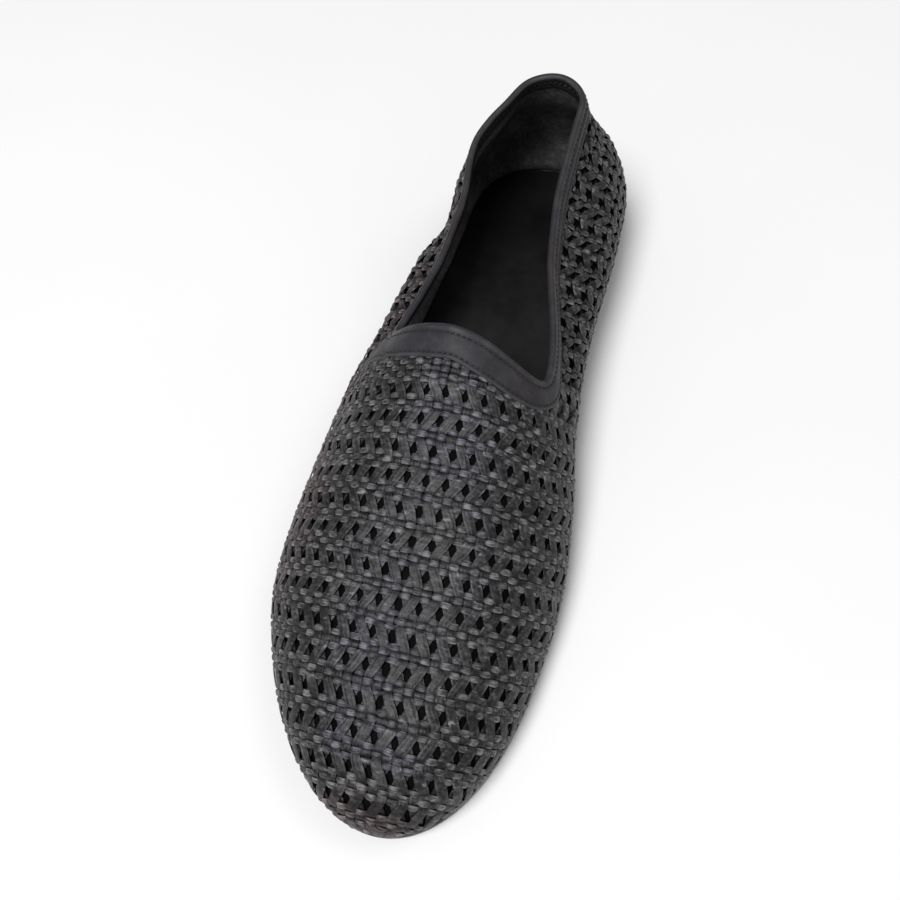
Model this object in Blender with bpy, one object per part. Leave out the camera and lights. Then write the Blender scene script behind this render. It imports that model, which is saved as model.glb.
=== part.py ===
"""Woven slip-on shoe for the right foot, five pieces on one last.

The tables are in millimetres. Toe to -Y, heel to +Y, inner side of the foot to +X, up +Z.
A place on the upper is named by its side, its station and its girth: the station runs from
the heel's back to the toe and the girth runs up the wall from the sole's edge.
"""
import math

import bpy
import numpy as np

METRES = 0.001

# the last
LAST_LENGTH = 291.0
HEEL_ROUND = 34.0
HEEL_POWER = 2.3
TOE_START = 196.0
TOE_POWER = 2.25
CROWN_START = 238.0
CROWN_POWER = 2.3
BULGE_HEIGHT = 60.0
SECTION_NAMES = (
    "station", "axis_x", "half_width", "ridge_x", "rise", "base", "lean", "lateral_bulge", "medial_bulge",
)
SECTION_ROWS = (
    (0, 5.7, 33.0, 13.0, 112.0, 14.8, 2.60, 3.5, 3.5),
    (17, 5.7, 33.0, 9.0, 111.5, 14.8, 3.50, 4.0, 4.0),
    (34, 5.7, 33.0, -1.5, 110.0, 14.8, 4.10, 4.0, 4.5),
    (62, 4.5, 33.1, -3.5, 99.8, 14.8, 4.30, 1.6, 6.7),
    (80, 3.3, 33.4, -2.9, 91.2, 14.5, 3.95, 7.6, 7.0),
    (105, 1.5, 34.5, -0.5, 78.0, 12.4, 2.30, 9.2, 7.0),
    (140, -0.3, 40.2, 1.2, 61.0, 7.8, 1.08, 7.8, 6.0),
    (170, 0.0, 46.8, 2.0, 51.0, 5.4, 0.87, 4.5, 4.5),
    (196, 0.6, 50.0, 2.5, 43.5, 4.85, 0.80, 3.2, 3.2),
    (220, 0.8, 50.8, 3.5, 37.5, 4.85, 0.76, 2.4, 2.4),
    (245, 3.5, 49.8, 5.5, 32.0, 6.2, 0.74, 2.0, 2.0),
    (270, 7.0, 48.8, 8.0, 28.0, 9.2, 0.74, 1.5, 1.5),
    (291, 10.3, 47.8, 10.3, 25.0, 12.8, 0.74, 1.0, 1.0),
)

# the opening
LATERAL = -1.0
MEDIAL = 1.0
TOPLINE_NAMES = ("station", "height")
TOPLINE_ROWS = ((0, 79.0), (20, 76.0), (60, 62.0), (110, 51.5), (138, 47.0))
NOTCH_STATION = {LATERAL: 128.5, MEDIAL: 140.0}
NOTCH_ROUND = {LATERAL: 5.5, MEDIAL: 8.0}
THROAT_STATION = 134.4
THROAT_POWER = 1.3

# the collar: how far the wall is drawn in at the topline and hollowed under it
COLLAR_NAMES = ("station", "lateral_in", "medial_in", "hollow")
COLLAR_ROWS = (
    (0, 0.0, 0.0, 1.0),
    (12, -1.0, 0.0, 1.6),
    (28, 2.5, -0.8, 2.4),
    (44, -1.8, 1.2, 3.0),
    (60, 0.6, 3.0, 3.4),
    (78, 3.9, 2.6, 3.6),
    (98, 5.9, 1.7, 3.6),
    (120, 4.6, -0.8, 3.0),
    (142, 1.2, -0.8, 1.2),
    (166, 0.0, 0.0, 0.0),
)
COLLAR_FOOT = 0.4
COLLAR_SPAN = 0.45
COLLAR_FADE = 0.45
HOLLOW_FOOT = 0.52
HOLLOW_SPAN = 0.5

# walls and gaps
WALL = 2.0
GAP = 0.35

# the weave
ROW_PERIOD = 10.4
FIRST_OPEN_ROW = 22.0
OPEN_ROWS = 14
CUT_ROWS = 13
OPEN_HEIGHT = 4.2
BAND_RISE = 0.7
HOLE_PITCH = 6.9
HOLE_WIDTH = 2.6
HOLES_EACH_SIDE = 4
HOLE_SLANT = 0.5
CROWD = 0.92
LOWER_SHARES = (0.0, 0.36, 0.7, 1.0)

# the binding
BIND_VAMP = 11.0
BIND_NAMES = ("station", "width")
BIND_ROWS = ((0, 6.6), (60, 7.0), (105, 7.4), (140, 9.5))
BIND_BLEND = 25.0
BIND_INSIDE = 6.5
BIND_THICK = 1.0
BIND_GAP = 0.45
BIND_GAP_INSIDE = 0.55
BIND_CLEAR = 1.5
BIND_ZONE = BIND_VAMP + BIND_CLEAR
BIND_STATIONS = 78
BEND_SPAN = 12
BEND_WEIGHT = 4.0

# the sole, heel and insole
SOLE_THICK = 4.5
SOLE_EDGE = 0.6
OVERHANG_NAMES = ("station", "overhang")
OVERHANG_ROWS = ((0, 1.0), (60, 0.4), (110, -1.0), (150, 0.2), (196, 0.9), (291, 1.2))
HEEL_FRONT = 64.0
HEEL_MIDDLE = 50.0
HEEL_HOLLOW = 3.0
HEEL_TAPER = 1.2
HEEL_EDGE = 0.7
INSOLE_THICK = 3.0
INSOLE_CLEAR = 0.5
PLATE_SHARES = (0.0, 0.3, 0.7, 1.0)

TURNS = np.linspace(0.0, 1.0, 49)
STEP = 0.4


def table(names, rows):
    """Columns of a table by name."""
    return {name: np.array([row[i] for row in rows], float) for i, name in enumerate(names)}


SECTIONS = table(SECTION_NAMES, SECTION_ROWS)
TOPLINE = table(TOPLINE_NAMES, TOPLINE_ROWS)
OVERHANG = table(OVERHANG_NAMES, OVERHANG_ROWS)
COLLAR = table(COLLAR_NAMES, COLLAR_ROWS)
BIND = table(BIND_NAMES, BIND_ROWS)


def smooth(xs, ys, x):
    """Monotone cubic curve through table rows."""
    x = np.clip(np.asarray(x, float), xs[0], xs[-1])
    width = np.diff(xs)
    slope = np.diff(ys) / width
    tangent = np.zeros_like(ys)
    tangent[0] = slope[0]
    tangent[-1] = slope[-1]
    for i in range(1, len(ys) - 1):
        if slope[i - 1] * slope[i] > 0.0:
            a = 2.0 * width[i] + width[i - 1]
            b = width[i] + 2.0 * width[i - 1]
            tangent[i] = (a + b) / (a / slope[i - 1] + b / slope[i])
    i = np.clip(np.searchsorted(xs, x, side="right") - 1, 0, len(width) - 1)
    t = (x - xs[i]) / width[i]
    start = (2 * t**3 - 3 * t**2 + 1) * ys[i] + (t**3 - 2 * t**2 + t) * width[i] * tangent[i]
    end = (-2 * t**3 + 3 * t**2) * ys[i + 1] + (t**3 - t**2) * width[i] * tangent[i + 1]
    return start + end


def ease(x):
    """Smooth step from nought to one."""
    x = np.clip(x, 0.0, 1.0)
    return x * x * (3.0 - 2.0 * x)


def section(name, station):
    return smooth(SECTIONS["station"], SECTIONS[name], station)


def closure(station, start, power):
    """Falls from one to nothing between a start station and the toe's tip."""
    share = np.clip((station - start) / (LAST_LENGTH - start), 0.0, 1.0)
    return np.sqrt(np.maximum(1.0 - share**power, 0.0))


def collar_pull(side, station, height):
    """Distance that the wall is drawn in towards the topline and hollowed under it."""
    rim = smooth(TOPLINE["station"], TOPLINE["height"], station) - section("base", station)
    level = height / rim
    lateral = smooth(COLLAR["station"], COLLAR["lateral_in"], station)
    medial = smooth(COLLAR["station"], COLLAR["medial_in"], station)
    drawn = np.where(side < 0.0, lateral, medial) * ease((level - COLLAR_FOOT) / COLLAR_SPAN)
    drawn = drawn * (1.0 - ease((level - 1.0) / COLLAR_FADE))
    part = np.clip((level - HOLLOW_FOOT) / HOLLOW_SPAN, 0.0, 1.0)
    return drawn + smooth(COLLAR["station"], COLLAR["hollow"], station) * np.sin(math.pi * part) ** 2


def wall_point(side, station, turn):
    """Outer face of the upper. Turn is 0 at the sole's edge and 1 on the ridge."""
    side, station, turn = np.broadcast_arrays(*(np.asarray(v, float) for v in (side, station, turn)))
    body = np.maximum(station, HEEL_ROUND)
    axis_x = section("axis_x", station)
    half = section("half_width", body) * closure(body, TOE_START, TOE_POWER)
    rise = section("rise", body) * closure(body, CROWN_START, CROWN_POWER)
    angle = np.clip(1.0 - station / HEEL_ROUND, 0.0, 1.0) * math.pi / 2.0
    across = half * np.cos(angle) ** (2.0 / HEEL_POWER)
    along = HEEL_ROUND * np.sin(angle) ** (2.0 / HEEL_POWER)
    radius = np.maximum(np.hypot(across, along), 1e-6)
    quarter = turn * math.pi / 2.0
    height = rise * np.sin(quarter)
    share = np.clip(height / np.maximum(np.minimum(rise, BULGE_HEIGHT), 1e-6), 0.0, 1.0)
    belly = np.where(side < 0.0, section("lateral_bulge", station), section("medial_bulge", station))
    belly = belly * closure(station, TOE_START, TOE_POWER) * 6.75 * share * (1.0 - share) ** 2
    kept = np.maximum(np.cos(quarter), 0.0) ** section("lean", station)
    out = (belly - collar_pull(side, station, height)) / radius
    ridge_x = section("ridge_x", station)
    x = axis_x + (ridge_x - axis_x) * (1.0 - kept) + side * across * (kept + out)
    y = LAST_LENGTH / 2.0 - body + along * (kept + out)
    return np.stack([x, y, section("base", station) + height], axis=-1)


def girth_table(side, station):
    """Length up the wall at each sampled turn."""
    points = wall_point(side[:, None], station[:, None], TURNS[None, :])
    steps = np.linalg.norm(np.diff(points, axis=1), axis=2)
    return np.concatenate([np.zeros((len(side), 1)), np.cumsum(steps, axis=1)], axis=1)


def full_girth(side, station):
    station = np.atleast_1d(np.asarray(station, float))
    side = np.full(station.shape, float(side)) if np.ndim(side) == 0 else np.asarray(side, float)
    return girth_table(side, station)[:, -1]


def place(side, station, girth):
    """Point on the outer face, going on past the ridge or the heel's back to the other side."""
    side, station, girth = (np.array(v, float) for v in np.broadcast_arrays(side, station, girth))
    side = np.where(station < 0.0, -side, side)
    station = np.abs(station)
    lengths = girth_table(side, station)
    over = girth > lengths[:, -1]
    if over.any():
        other = girth_table(-side[over], station[over])
        girth[over] = other[:, -1] - (girth[over] - lengths[over, -1])
        lengths[over] = other
        side[over] = -side[over]
    low = np.clip((lengths < girth[:, None]).sum(axis=1) - 1, 0, len(TURNS) - 2)
    row = np.arange(len(side))
    part = (girth - lengths[row, low]) / np.maximum(lengths[row, low + 1] - lengths[row, low], 1e-9)
    turn = TURNS[low] + np.clip(part, 0.0, 1.0) * (TURNS[1] - TURNS[0])
    return wall_point(side, station, turn)


def surface(side, station, girth):
    """Point, outward normal and the two directions of the outer face."""
    side, station, girth = (np.array(v, float) for v in np.broadcast_arrays(side, station, girth))
    ahead = np.minimum(station + STEP, LAST_LENGTH - 0.02)
    behind = np.minimum(station - STEP, ahead - STEP)
    lower = np.maximum(girth - STEP, 0.0)
    along = (place(side, ahead, girth) - place(side, behind, girth)) / (ahead - behind)[:, None]
    upward = (place(side, station, girth + STEP) - place(side, station, lower))
    upward = upward / (girth + STEP - lower)[:, None]
    normal = np.cross(along, upward) * -side[:, None]
    normal = normal / np.linalg.norm(normal, axis=1)[:, None]
    return place(side, station, girth), normal, along, upward


def top_girth(side, station):
    """Girth of the opening's edge behind the notch."""
    station = np.atleast_1d(np.asarray(station, float))
    body = np.maximum(station, HEEL_ROUND)
    rise = section("rise", body) * closure(body, CROWN_START, CROWN_POWER)
    height = smooth(TOPLINE["station"], TOPLINE["height"], station) - section("base", station)
    turn = np.arcsin(np.clip(height / rise, 0.0, 1.0)) * 2.0 / math.pi
    lengths = girth_table(np.full(station.shape, float(side)), station)
    return np.array([np.interp(t, TURNS, row) for t, row in zip(turn, lengths)])


NOTCH_GIRTH = {side: float(top_girth(side, NOTCH_STATION[side])[0]) for side in (LATERAL, MEDIAL)}
NOTCH_FULL = {side: float(full_girth(side, NOTCH_STATION[side])[0]) for side in (LATERAL, MEDIAL)}


def vamp_edge(side, from_ridge):
    """Station of the vamp's edge at a distance from the ridge."""
    share = np.clip(from_ridge / (NOTCH_FULL[side] - NOTCH_GIRTH[side]), 0.0, 1.0)
    return THROAT_STATION + (NOTCH_STATION[side] - THROAT_STATION) * share**THROAT_POWER


def make_object(name, vertices, faces, colour, roughness):
    mesh = bpy.data.meshes.new(name)
    mesh.from_pydata([tuple(v) for v in np.asarray(vertices) * METRES], [], [tuple(f) for f in faces])
    mesh.validate()
    mesh.update()
    piece = bpy.data.objects.new(name, mesh)
    bpy.context.collection.objects.link(piece)
    material = bpy.data.materials.new(name)
    material.use_nodes = True
    shader = material.node_tree.nodes["Principled BSDF"]
    shader.inputs["Base Color"].default_value = (*colour, 1.0)
    shader.inputs["Roughness"].default_value = roughness
    mesh.materials.append(material)
    return piece


def hole_lines():
    """Distances from the ridge of the two edges of each hole, on one side."""
    lines = [HOLE_WIDTH / 2.0]
    for hole in range(1, HOLES_EACH_SIDE + 1):
        lines.append(hole * HOLE_PITCH - HOLE_WIDTH / 2.0)
        lines.append(hole * HOLE_PITCH + HOLE_WIDTH / 2.0)
    return np.array(lines)


def vamp_rows():
    """Rows in front of the notch as station, raised or not, number of the open row and slant."""
    stations = np.linspace(THROAT_STATION, LAST_LENGTH - 0.05, 600)
    ridge = wall_point(MEDIAL, stations, 1.0)
    lengths = np.concatenate([[0.0], np.cumsum(np.linalg.norm(np.diff(ridge, axis=0), axis=1))])
    rows = [(FIRST_OPEN_ROW - ROW_PERIOD / 2.0, False, 0, 0.0)]
    for number in range(1, OPEN_ROWS + 1):
        middle = FIRST_OPEN_ROW + (number - 1) * ROW_PERIOD
        slant = HOLE_SLANT if number % 2 else -HOLE_SLANT
        rows.append((middle - OPEN_HEIGHT / 2.0, False, number, slant))
        rows.append((middle + OPEN_HEIGHT / 2.0, False, 0, -slant))
        rows.append((middle + ROW_PERIOD / 2.0, True, 0, 0.0))
    kept = [row for row in rows if row[0] < lengths[-1] - 3.0]
    return [(float(np.interp(row[0], lengths, stations)),) + row[1:] for row in kept]


def quarter_shares():
    """Shares of the way from the heel's back to the notch at half the row period."""
    stations = np.linspace(0.0, NOTCH_STATION[MEDIAL], 500)
    points = place(np.full(500, MEDIAL), stations, np.full(500, 20.0))
    lengths = np.concatenate([[0.0], np.cumsum(np.linalg.norm(np.diff(points, axis=0), axis=1))])
    count = 2 * int(round(lengths[-1] / ROW_PERIOD))
    spaced = np.interp(np.linspace(0.0, lengths[-1], count + 1)[:-1], lengths, stations)
    return spaced / NOTCH_STATION[MEDIAL]


def make_upper():
    """One wall with raised bands and cut holes."""
    sides, stations, girths, reliefs = [], [], [], []
    index = {}
    central = hole_lines()
    side_count = len(LOWER_SHARES) + 2
    last_column = 2 * side_count + 2 * len(central) - 1

    def add(row, column, side, station, girth, relief):
        index[row, column] = len(sides)
        sides.append(side)
        stations.append(station)
        girths.append(girth)
        reliefs.append(relief)

    row = 0
    for number, share in enumerate(quarter_shares()):
        rise = BAND_RISE if number % 2 == 0 else 0.0
        for side in (LATERAL, MEDIAL):
            station = share * NOTCH_STATION[side]
            top = float(top_girth(side, station)[0])
            width = float(smooth(BIND["station"], BIND["width"], station))
            levels = [part * (top - width - BIND_CLEAR) for part in LOWER_SHARES] + [top - width / 2.0, top]
            for line, girth in enumerate(levels):
                column = line if side == LATERAL else last_column - line
                if number == 0 and side == MEDIAL:
                    index[row, column] = index[row, line]
                else:
                    add(row, column, side, station, girth, rise if line < side_count - 3 else 0.0)
        row += 1
    first_vamp_row = row

    rows = [("edge", False, 0, 0.0), ("zone", False, 0, 0.0)] + vamp_rows()
    rows.append((LAST_LENGTH - 1.5, False, 0, 0.0))
    zone_limit = rows[2][0] - BIND_CLEAR
    for station, raised, number, slant in rows:
        rise = BAND_RISE if raised else 0.0
        for side in (LATERAL, MEDIAL):
            plain = NOTCH_STATION[side] if station == "edge" else station
            plain = min(NOTCH_STATION[side] + BIND_ZONE, zone_limit) if station == "zone" else plain
            full = float(full_girth(side, plain)[0])
            notch = full * NOTCH_GIRTH[side] / NOTCH_FULL[side]
            notch = NOTCH_GIRTH[side] if station == "edge" else notch
            lower = notch * (1.0 - BIND_ZONE / NOTCH_GIRTH[side])
            levels = [part * lower for part in LOWER_SHARES] + [(lower + notch) / 2.0, notch]
            for line, girth in enumerate(levels):
                column = line if side == LATERAL else last_column - line
                add(row, column, side, plain, girth, rise)
            squeeze = min(1.0, CROWD * (full - notch) / central[-1])
            for line, from_ridge in enumerate(central[::-1]):
                away = (from_ridge + side * slant) * squeeze
                here = plain
                if station in ("edge", "zone"):
                    edge = float(vamp_edge(side, away))
                    here = edge if station == "edge" else min(edge + BIND_ZONE, zone_limit)
                own = float(full_girth(side, here)[0])
                column = side_count + line
                column = column if side == LATERAL else last_column - column
                add(row, column, side, here, own - away, rise)
        row += 1
    last_row = row - 1

    point, normal, _, _ = surface(np.array(sides), np.array(stations), np.array(girths))
    outer = point + normal * np.array(reliefs)[:, None]
    inner = point - normal * WALL
    tip = wall_point(MEDIAL, LAST_LENGTH, 0.0)
    outer = np.vstack([outer, tip])
    inner = np.vstack([inner, tip + np.array([0.0, WALL, 0.0])])
    count = len(outer)

    first_hole = side_count
    skin = []
    for r in range(last_row):
        number = rows[r - first_vamp_row][2] if r >= first_vamp_row else 0
        for c in range(last_column):
            corners = ((r, c), (r + 1, c), (r + 1, c + 1), (r, c + 1))
            if not all(corner in index for corner in corners):
                continue
            if r < first_vamp_row and side_count - 1 <= c < last_column - side_count + 1:
                continue
            hole = first_hole <= c < last_column - side_count and (c - first_hole) % 2 == 0
            if 1 <= number <= CUT_ROWS and hole:
                continue
            skin.append([index[corner] for corner in corners])
    for c in range(last_column):
        skin.append([index[last_row, c], count - 1, index[last_row, c + 1]])

    faces = [list(face) for face in skin]
    faces += [[vertex + count for vertex in reversed(face)] for face in skin]
    edges = set()
    for face in skin:
        edges.update(zip(face, face[1:] + face[:1]))
    for a, b in sorted(edges):
        if (b, a) not in edges:
            faces.append([b, a, a + count, b + count])
    return np.vstack([outer, inner]), faces


def feather(station, side, out):
    """Sole's edge in plan, set out or in by a distance."""
    station = np.asarray(station, float)
    ahead = np.minimum(station + STEP, LAST_LENGTH)
    behind = np.maximum(station - STEP, 0.0)
    point = wall_point(side, station, 0.0)
    along = wall_point(side, ahead, 0.0) - wall_point(side, behind, 0.0)
    along[station <= 0.0] = np.array([side, 0.0, 0.0])
    along[station >= LAST_LENGTH] = np.array([-side, 0.0, 0.0])
    along = along / np.linalg.norm(along[:, :2], axis=1)[:, None]
    outward = np.stack([-along[:, 1] * side, along[:, 0] * side, np.zeros(len(station))], axis=1)
    moved = point + outward * np.asarray(out, float).reshape(-1, 1)
    return moved[:, :2]


def plate_stations():
    heel = HEEL_ROUND * (1.0 - np.cos(np.linspace(0.0, math.pi / 2.0, 8)))
    waist = np.linspace(HEEL_ROUND, TOE_START, 20)[1:-1]
    toe = TOE_START + (LAST_LENGTH - TOE_START) * np.sin(np.linspace(0.0, math.pi / 2.0, 14))
    return np.concatenate([heel, waist, toe])


def base_height(y):
    return section("base", np.clip(LAST_LENGTH / 2.0 - y, 0.0, LAST_LENGTH))


def make_plate(rings):
    """Flat body of the last's outline. Each ring has its overhang by station and its height."""
    stations = plate_stations()
    count = len(stations)
    vertices = []
    faces = []

    def add_grid(out, height):
        lateral = feather(stations, LATERAL, out)
        medial = feather(stations, MEDIAL, out)
        grid = np.zeros((count, len(PLATE_SHARES)), int)
        for i in range(count):
            for j, share in enumerate(PLATE_SHARES):
                if i in (0, count - 1) and j > 0:
                    grid[i, j] = grid[i, 0]
                    continue
                x, y = lateral[i] + (medial[i] - lateral[i]) * share
                if i in (0, count - 1):
                    x = (lateral[i, 0] + medial[i, 0]) / 2.0
                grid[i, j] = len(vertices)
                vertices.append((x, y, base_height(y) + height))
        return grid

    def add_cap(grid, upward):
        for i in range(count - 1):
            for j in range(len(PLATE_SHARES) - 1):
                face = [grid[i, j], grid[i + 1, j], grid[i + 1, j + 1], grid[i, j + 1]]
                face = [v for k, v in enumerate(face) if v not in face[:k]]
                faces.append(face if upward else face[::-1])

    def loop(grid):
        return list(grid[:, 0]) + list(grid[-2:0:-1, -1])

    grids = []
    for out, height in rings:
        grids.append(add_grid(out, height))
    add_cap(grids[0], True)
    add_cap(grids[-1], False)
    for upper_grid, lower_grid in zip(grids, grids[1:]):
        high = loop(upper_grid)
        low = loop(lower_grid)
        for i in range(len(high)):
            k = (i + 1) % len(high)
            faces.append([high[k], high[i], low[i], low[k]])
    used = sorted({int(v) for face in faces for v in face})
    renamed = {v: i for i, v in enumerate(used)}
    return np.array(vertices)[used], [[renamed[int(v)] for v in face] for face in faces]


def make_outsole():
    out = smooth(OVERHANG["station"], OVERHANG["overhang"], plate_stations())
    rings = (
        (out - SOLE_EDGE, -GAP),
        (out, -GAP - SOLE_EDGE),
        (out, -GAP - SOLE_THICK + SOLE_EDGE),
        (out - SOLE_EDGE, -GAP - SOLE_THICK),
    )
    return make_plate(rings)


def make_insole():
    out = np.full(len(plate_stations()), -WALL - INSOLE_CLEAR)
    rings = ((out - 0.4, INSOLE_THICK), (out, INSOLE_THICK - 0.6), (out, 0.0))
    return make_plate(rings)


def make_heel():
    """Low block under the heel seat with a hollow front edge."""
    rounded = HEEL_ROUND * (1.0 - np.cos(np.linspace(0.0, math.pi / 2.0, 9)))
    stations = np.concatenate([rounded, [HEEL_MIDDLE, HEEL_FRONT]])
    out = smooth(OVERHANG["station"], OVERHANG["overhang"], stations)
    top = float(base_height(LAST_LENGTH / 2.0)) - GAP - SOLE_THICK - GAP
    rings = ((0.5, top), (0.5, top - 0.4), (HEEL_TAPER, HEEL_EDGE), (HEEL_TAPER + HEEL_EDGE, 0.0))
    vertices = []
    faces = []
    loops = []
    for inset, height in rings:
        lateral = feather(stations, LATERAL, out - inset)
        medial = feather(stations, MEDIAL, out - inset)
        ring = list(lateral[::-1]) + list(medial[1:])
        start = medial[-1]
        end = lateral[-1]
        for share in (0.2, 0.4, 0.6, 0.8):
            x, y = start + (end - start) * share
            ring.append((x, y + HEEL_HOLLOW * math.sin(math.pi * share)))
        loops.append(list(range(len(vertices), len(vertices) + len(ring))))
        vertices += [(x, y, height) for x, y in ring]
    faces.append(loops[0])
    faces.append(loops[-1][::-1])
    for high, low in zip(loops, loops[1:]):
        for i in range(len(high)):
            k = (i + 1) % len(high)
            faces.append([high[k], high[i], low[i], low[k]])
    area = 0.0
    for i in range(len(loops[0])):
        a = vertices[loops[0][i]]
        b = vertices[loops[0][(i + 1) % len(loops[0])]]
        area += a[0] * b[1] - b[0] * a[1]
    if area < 0.0:
        faces = [face[::-1] for face in faces]
    return np.array(vertices), faces


def topline_path():
    """Closed path of the opening's edge as side, station and girth, with the notch rounded."""
    halves = {}
    for side in (LATERAL, MEDIAL):
        stations = np.linspace(0.0, NOTCH_STATION[side], 260)
        quarter = np.stack([stations, top_girth(side, stations)], axis=1)
        away = np.linspace(NOTCH_FULL[side] - NOTCH_GIRTH[side], 0.0, 90)
        edge = vamp_edge(side, away)
        vamp = np.stack([edge, full_girth(side, edge) - away], axis=1)
        halves[side] = np.vstack([quarter, vamp[1:]])
    path = []
    for side in (LATERAL, MEDIAL):
        line = halves[side]
        lengths = np.concatenate([[0.0], np.cumsum(np.linalg.norm(np.diff(line, axis=0), axis=1))])
        fine = np.linspace(0.0, lengths[-1], 700)
        line = np.stack([np.interp(fine, lengths, line[:, k]) for k in (0, 1)], axis=1)
        corner = np.argmin(np.hypot(line[:, 0] - NOTCH_STATION[side], line[:, 1] - NOTCH_GIRTH[side]))
        spacing = fine[1] - fine[0]
        reach = int(NOTCH_ROUND[side] / spacing)
        soft = line.copy()
        for _ in range(3):
            before = soft.copy()
            for i in range(corner - 4 * reach, min(corner + 4 * reach, len(line) - reach - 1)):
                soft[i] = before[i - reach:i + reach + 1].mean(axis=0)
        path.append((np.full(len(fine), side), soft[:, 0], soft[:, 1]))
    lateral, medial = path
    joined = [np.concatenate([a, b[::-1][1:-1]]) for a, b in zip(lateral, medial)]
    return joined


def binding_width(side, station, girth):
    """Width of the binding's outer flap, widest on the vamp."""
    from_ridge = full_girth(side, station) - girth
    lateral = NOTCH_FULL[LATERAL] - NOTCH_GIRTH[LATERAL]
    medial = NOTCH_FULL[MEDIAL] - NOTCH_GIRTH[MEDIAL]
    share = 1.0 - from_ridge / np.where(side < 0.0, lateral, medial)
    notch = np.where(side < 0.0, NOTCH_STATION[LATERAL], NOTCH_STATION[MEDIAL])
    front = ease((station - notch) / BIND_BLEND + 1.0)
    quarter = smooth(BIND["station"], BIND["width"], station)
    return quarter + (BIND_VAMP - quarter) * ease(2.0 * share + 0.3) * front


def make_binding():
    """Strip folded over the opening's edge, clear of the wall on both faces."""
    side, station, girth = topline_path()
    points = place(side, station, girth)
    ahead = np.roll(points, -BEND_SPAN, axis=0) - points
    behind = points - np.roll(points, BEND_SPAN, axis=0)
    bend = np.linalg.norm(ahead / np.linalg.norm(ahead, axis=1)[:, None]
                          - behind / np.linalg.norm(behind, axis=1)[:, None], axis=1)
    steps = np.linalg.norm(np.roll(points, -1, axis=0) - points, axis=1) * (1.0 + BEND_WEIGHT * bend)
    travelled = np.concatenate([[0.0], np.cumsum(steps)])
    wanted = np.arange(BIND_STATIONS) * travelled[-1] / BIND_STATIONS
    picks = np.searchsorted(travelled[:-1], wanted)
    picks = np.clip(picks, 0, len(side) - 1)
    side, station, girth = side[picks], station[picks], girth[picks]
    point, normal, along, upward = surface(side, station, girth)
    tangent = np.roll(point, -1, axis=0) - np.roll(point, 1, axis=0)
    tangent = tangent - normal * np.sum(tangent * normal, axis=1)[:, None]
    tangent = tangent / np.linalg.norm(tangent, axis=1)[:, None]
    away = np.cross(tangent, normal)
    width = binding_width(side, station, girth)
    outside = BIND_GAP + BIND_THICK
    inside = -WALL - BIND_GAP_INSIDE - BIND_THICK
    profile = (
        (width, BIND_GAP),
        (width, outside - 0.3),
        (width - 0.7, outside),
        (width * 0.4, outside),
        (0.0, outside),
        (-outside, 0.0),
        (-outside, -WALL),
        (0.0, inside),
        (BIND_INSIDE, inside),
        (BIND_INSIDE, -WALL - BIND_GAP_INSIDE),
        (BIND_INSIDE / 2.0, -WALL - BIND_GAP_INSIDE),
        (-GAP, -WALL - BIND_GAP_INSIDE),
        (-GAP, BIND_GAP),
        (width / 2.0, BIND_GAP),
    )
    ee = np.sum(along * along, axis=1)
    ff = np.sum(along * upward, axis=1)
    gg = np.sum(upward * upward, axis=1)
    rings = []
    for distance, height in profile:
        distance = np.broadcast_to(distance, len(side))[:, None]
        step = away * np.maximum(distance, 0.0)
        p = np.sum(step * along, axis=1)
        q = np.sum(step * upward, axis=1)
        bottom = ee * gg - ff * ff
        further = station + (p * gg - q * ff) / bottom
        higher = girth + (q * ee - p * ff) / bottom
        here, up, _, _ = surface(side, further, higher)
        rings.append(here + up * height + away * np.minimum(distance, 0.0))
    rings = np.stack(rings, axis=1)
    count, corners = rings.shape[:2]
    faces = []
    for i in range(count):
        k = (i + 1) % count
        for j in range(corners):
            m = (j + 1) % corners
            faces.append([i * corners + j, k * corners + j, k * corners + m, i * corners + m])
    return rings.reshape(-1, 3), faces


def signed_volume(vertices, faces):
    total = 0.0
    for face in faces:
        for a, b in zip(face[1:], face[2:]):
            total += float(np.dot(vertices[face[0]], np.cross(vertices[a], vertices[b])))
    return total


for leftover in list(bpy.data.objects):
    bpy.data.objects.remove(leftover)

PIECES = (
    ("outsole", make_outsole(), (0.020, 0.019, 0.019), 0.55),
    ("heel", make_heel(), (0.016, 0.016, 0.016), 0.65),
    ("upper", make_upper(), (0.045, 0.043, 0.044), 0.60),
    ("collar_binding", make_binding(), (0.060, 0.055, 0.058), 0.50),
    ("insole", make_insole(), (0.018, 0.017, 0.017), 0.55),
)
EVERY_POINT = np.vstack([piece[1][0] for piece in PIECES])
LOW = EVERY_POINT.min(axis=0)
HIGH = EVERY_POINT.max(axis=0)
CENTRE = np.array([(LOW[0] + HIGH[0]) / 2.0, (LOW[1] + HIGH[1]) / 2.0, LOW[2]])
for piece_name, (piece_points, piece_faces), piece_colour, piece_roughness in PIECES:
    moved = piece_points - CENTRE
    if signed_volume(moved, piece_faces) < 0.0:
        piece_faces = [face[::-1] for face in piece_faces]
    make_object(piece_name, moved, piece_faces, piece_colour, piece_roughness)
print("centre", CENTRE, "size", HIGH - LOW)
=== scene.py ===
"""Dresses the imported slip-on shoe with its woven strips, lining, binding, stitches and sole.

Lengths are in millimetres on the last, toe to -Y, heel to +Y, inner side of the foot to +X.
A place on the upper is named by its side, its station and its girth: the station runs from
the heel's back to the toe and the girth runs up the wall from the sole's edge.
"""
import math

import bpy
import numpy as np
from mathutils import Matrix, Vector


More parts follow.
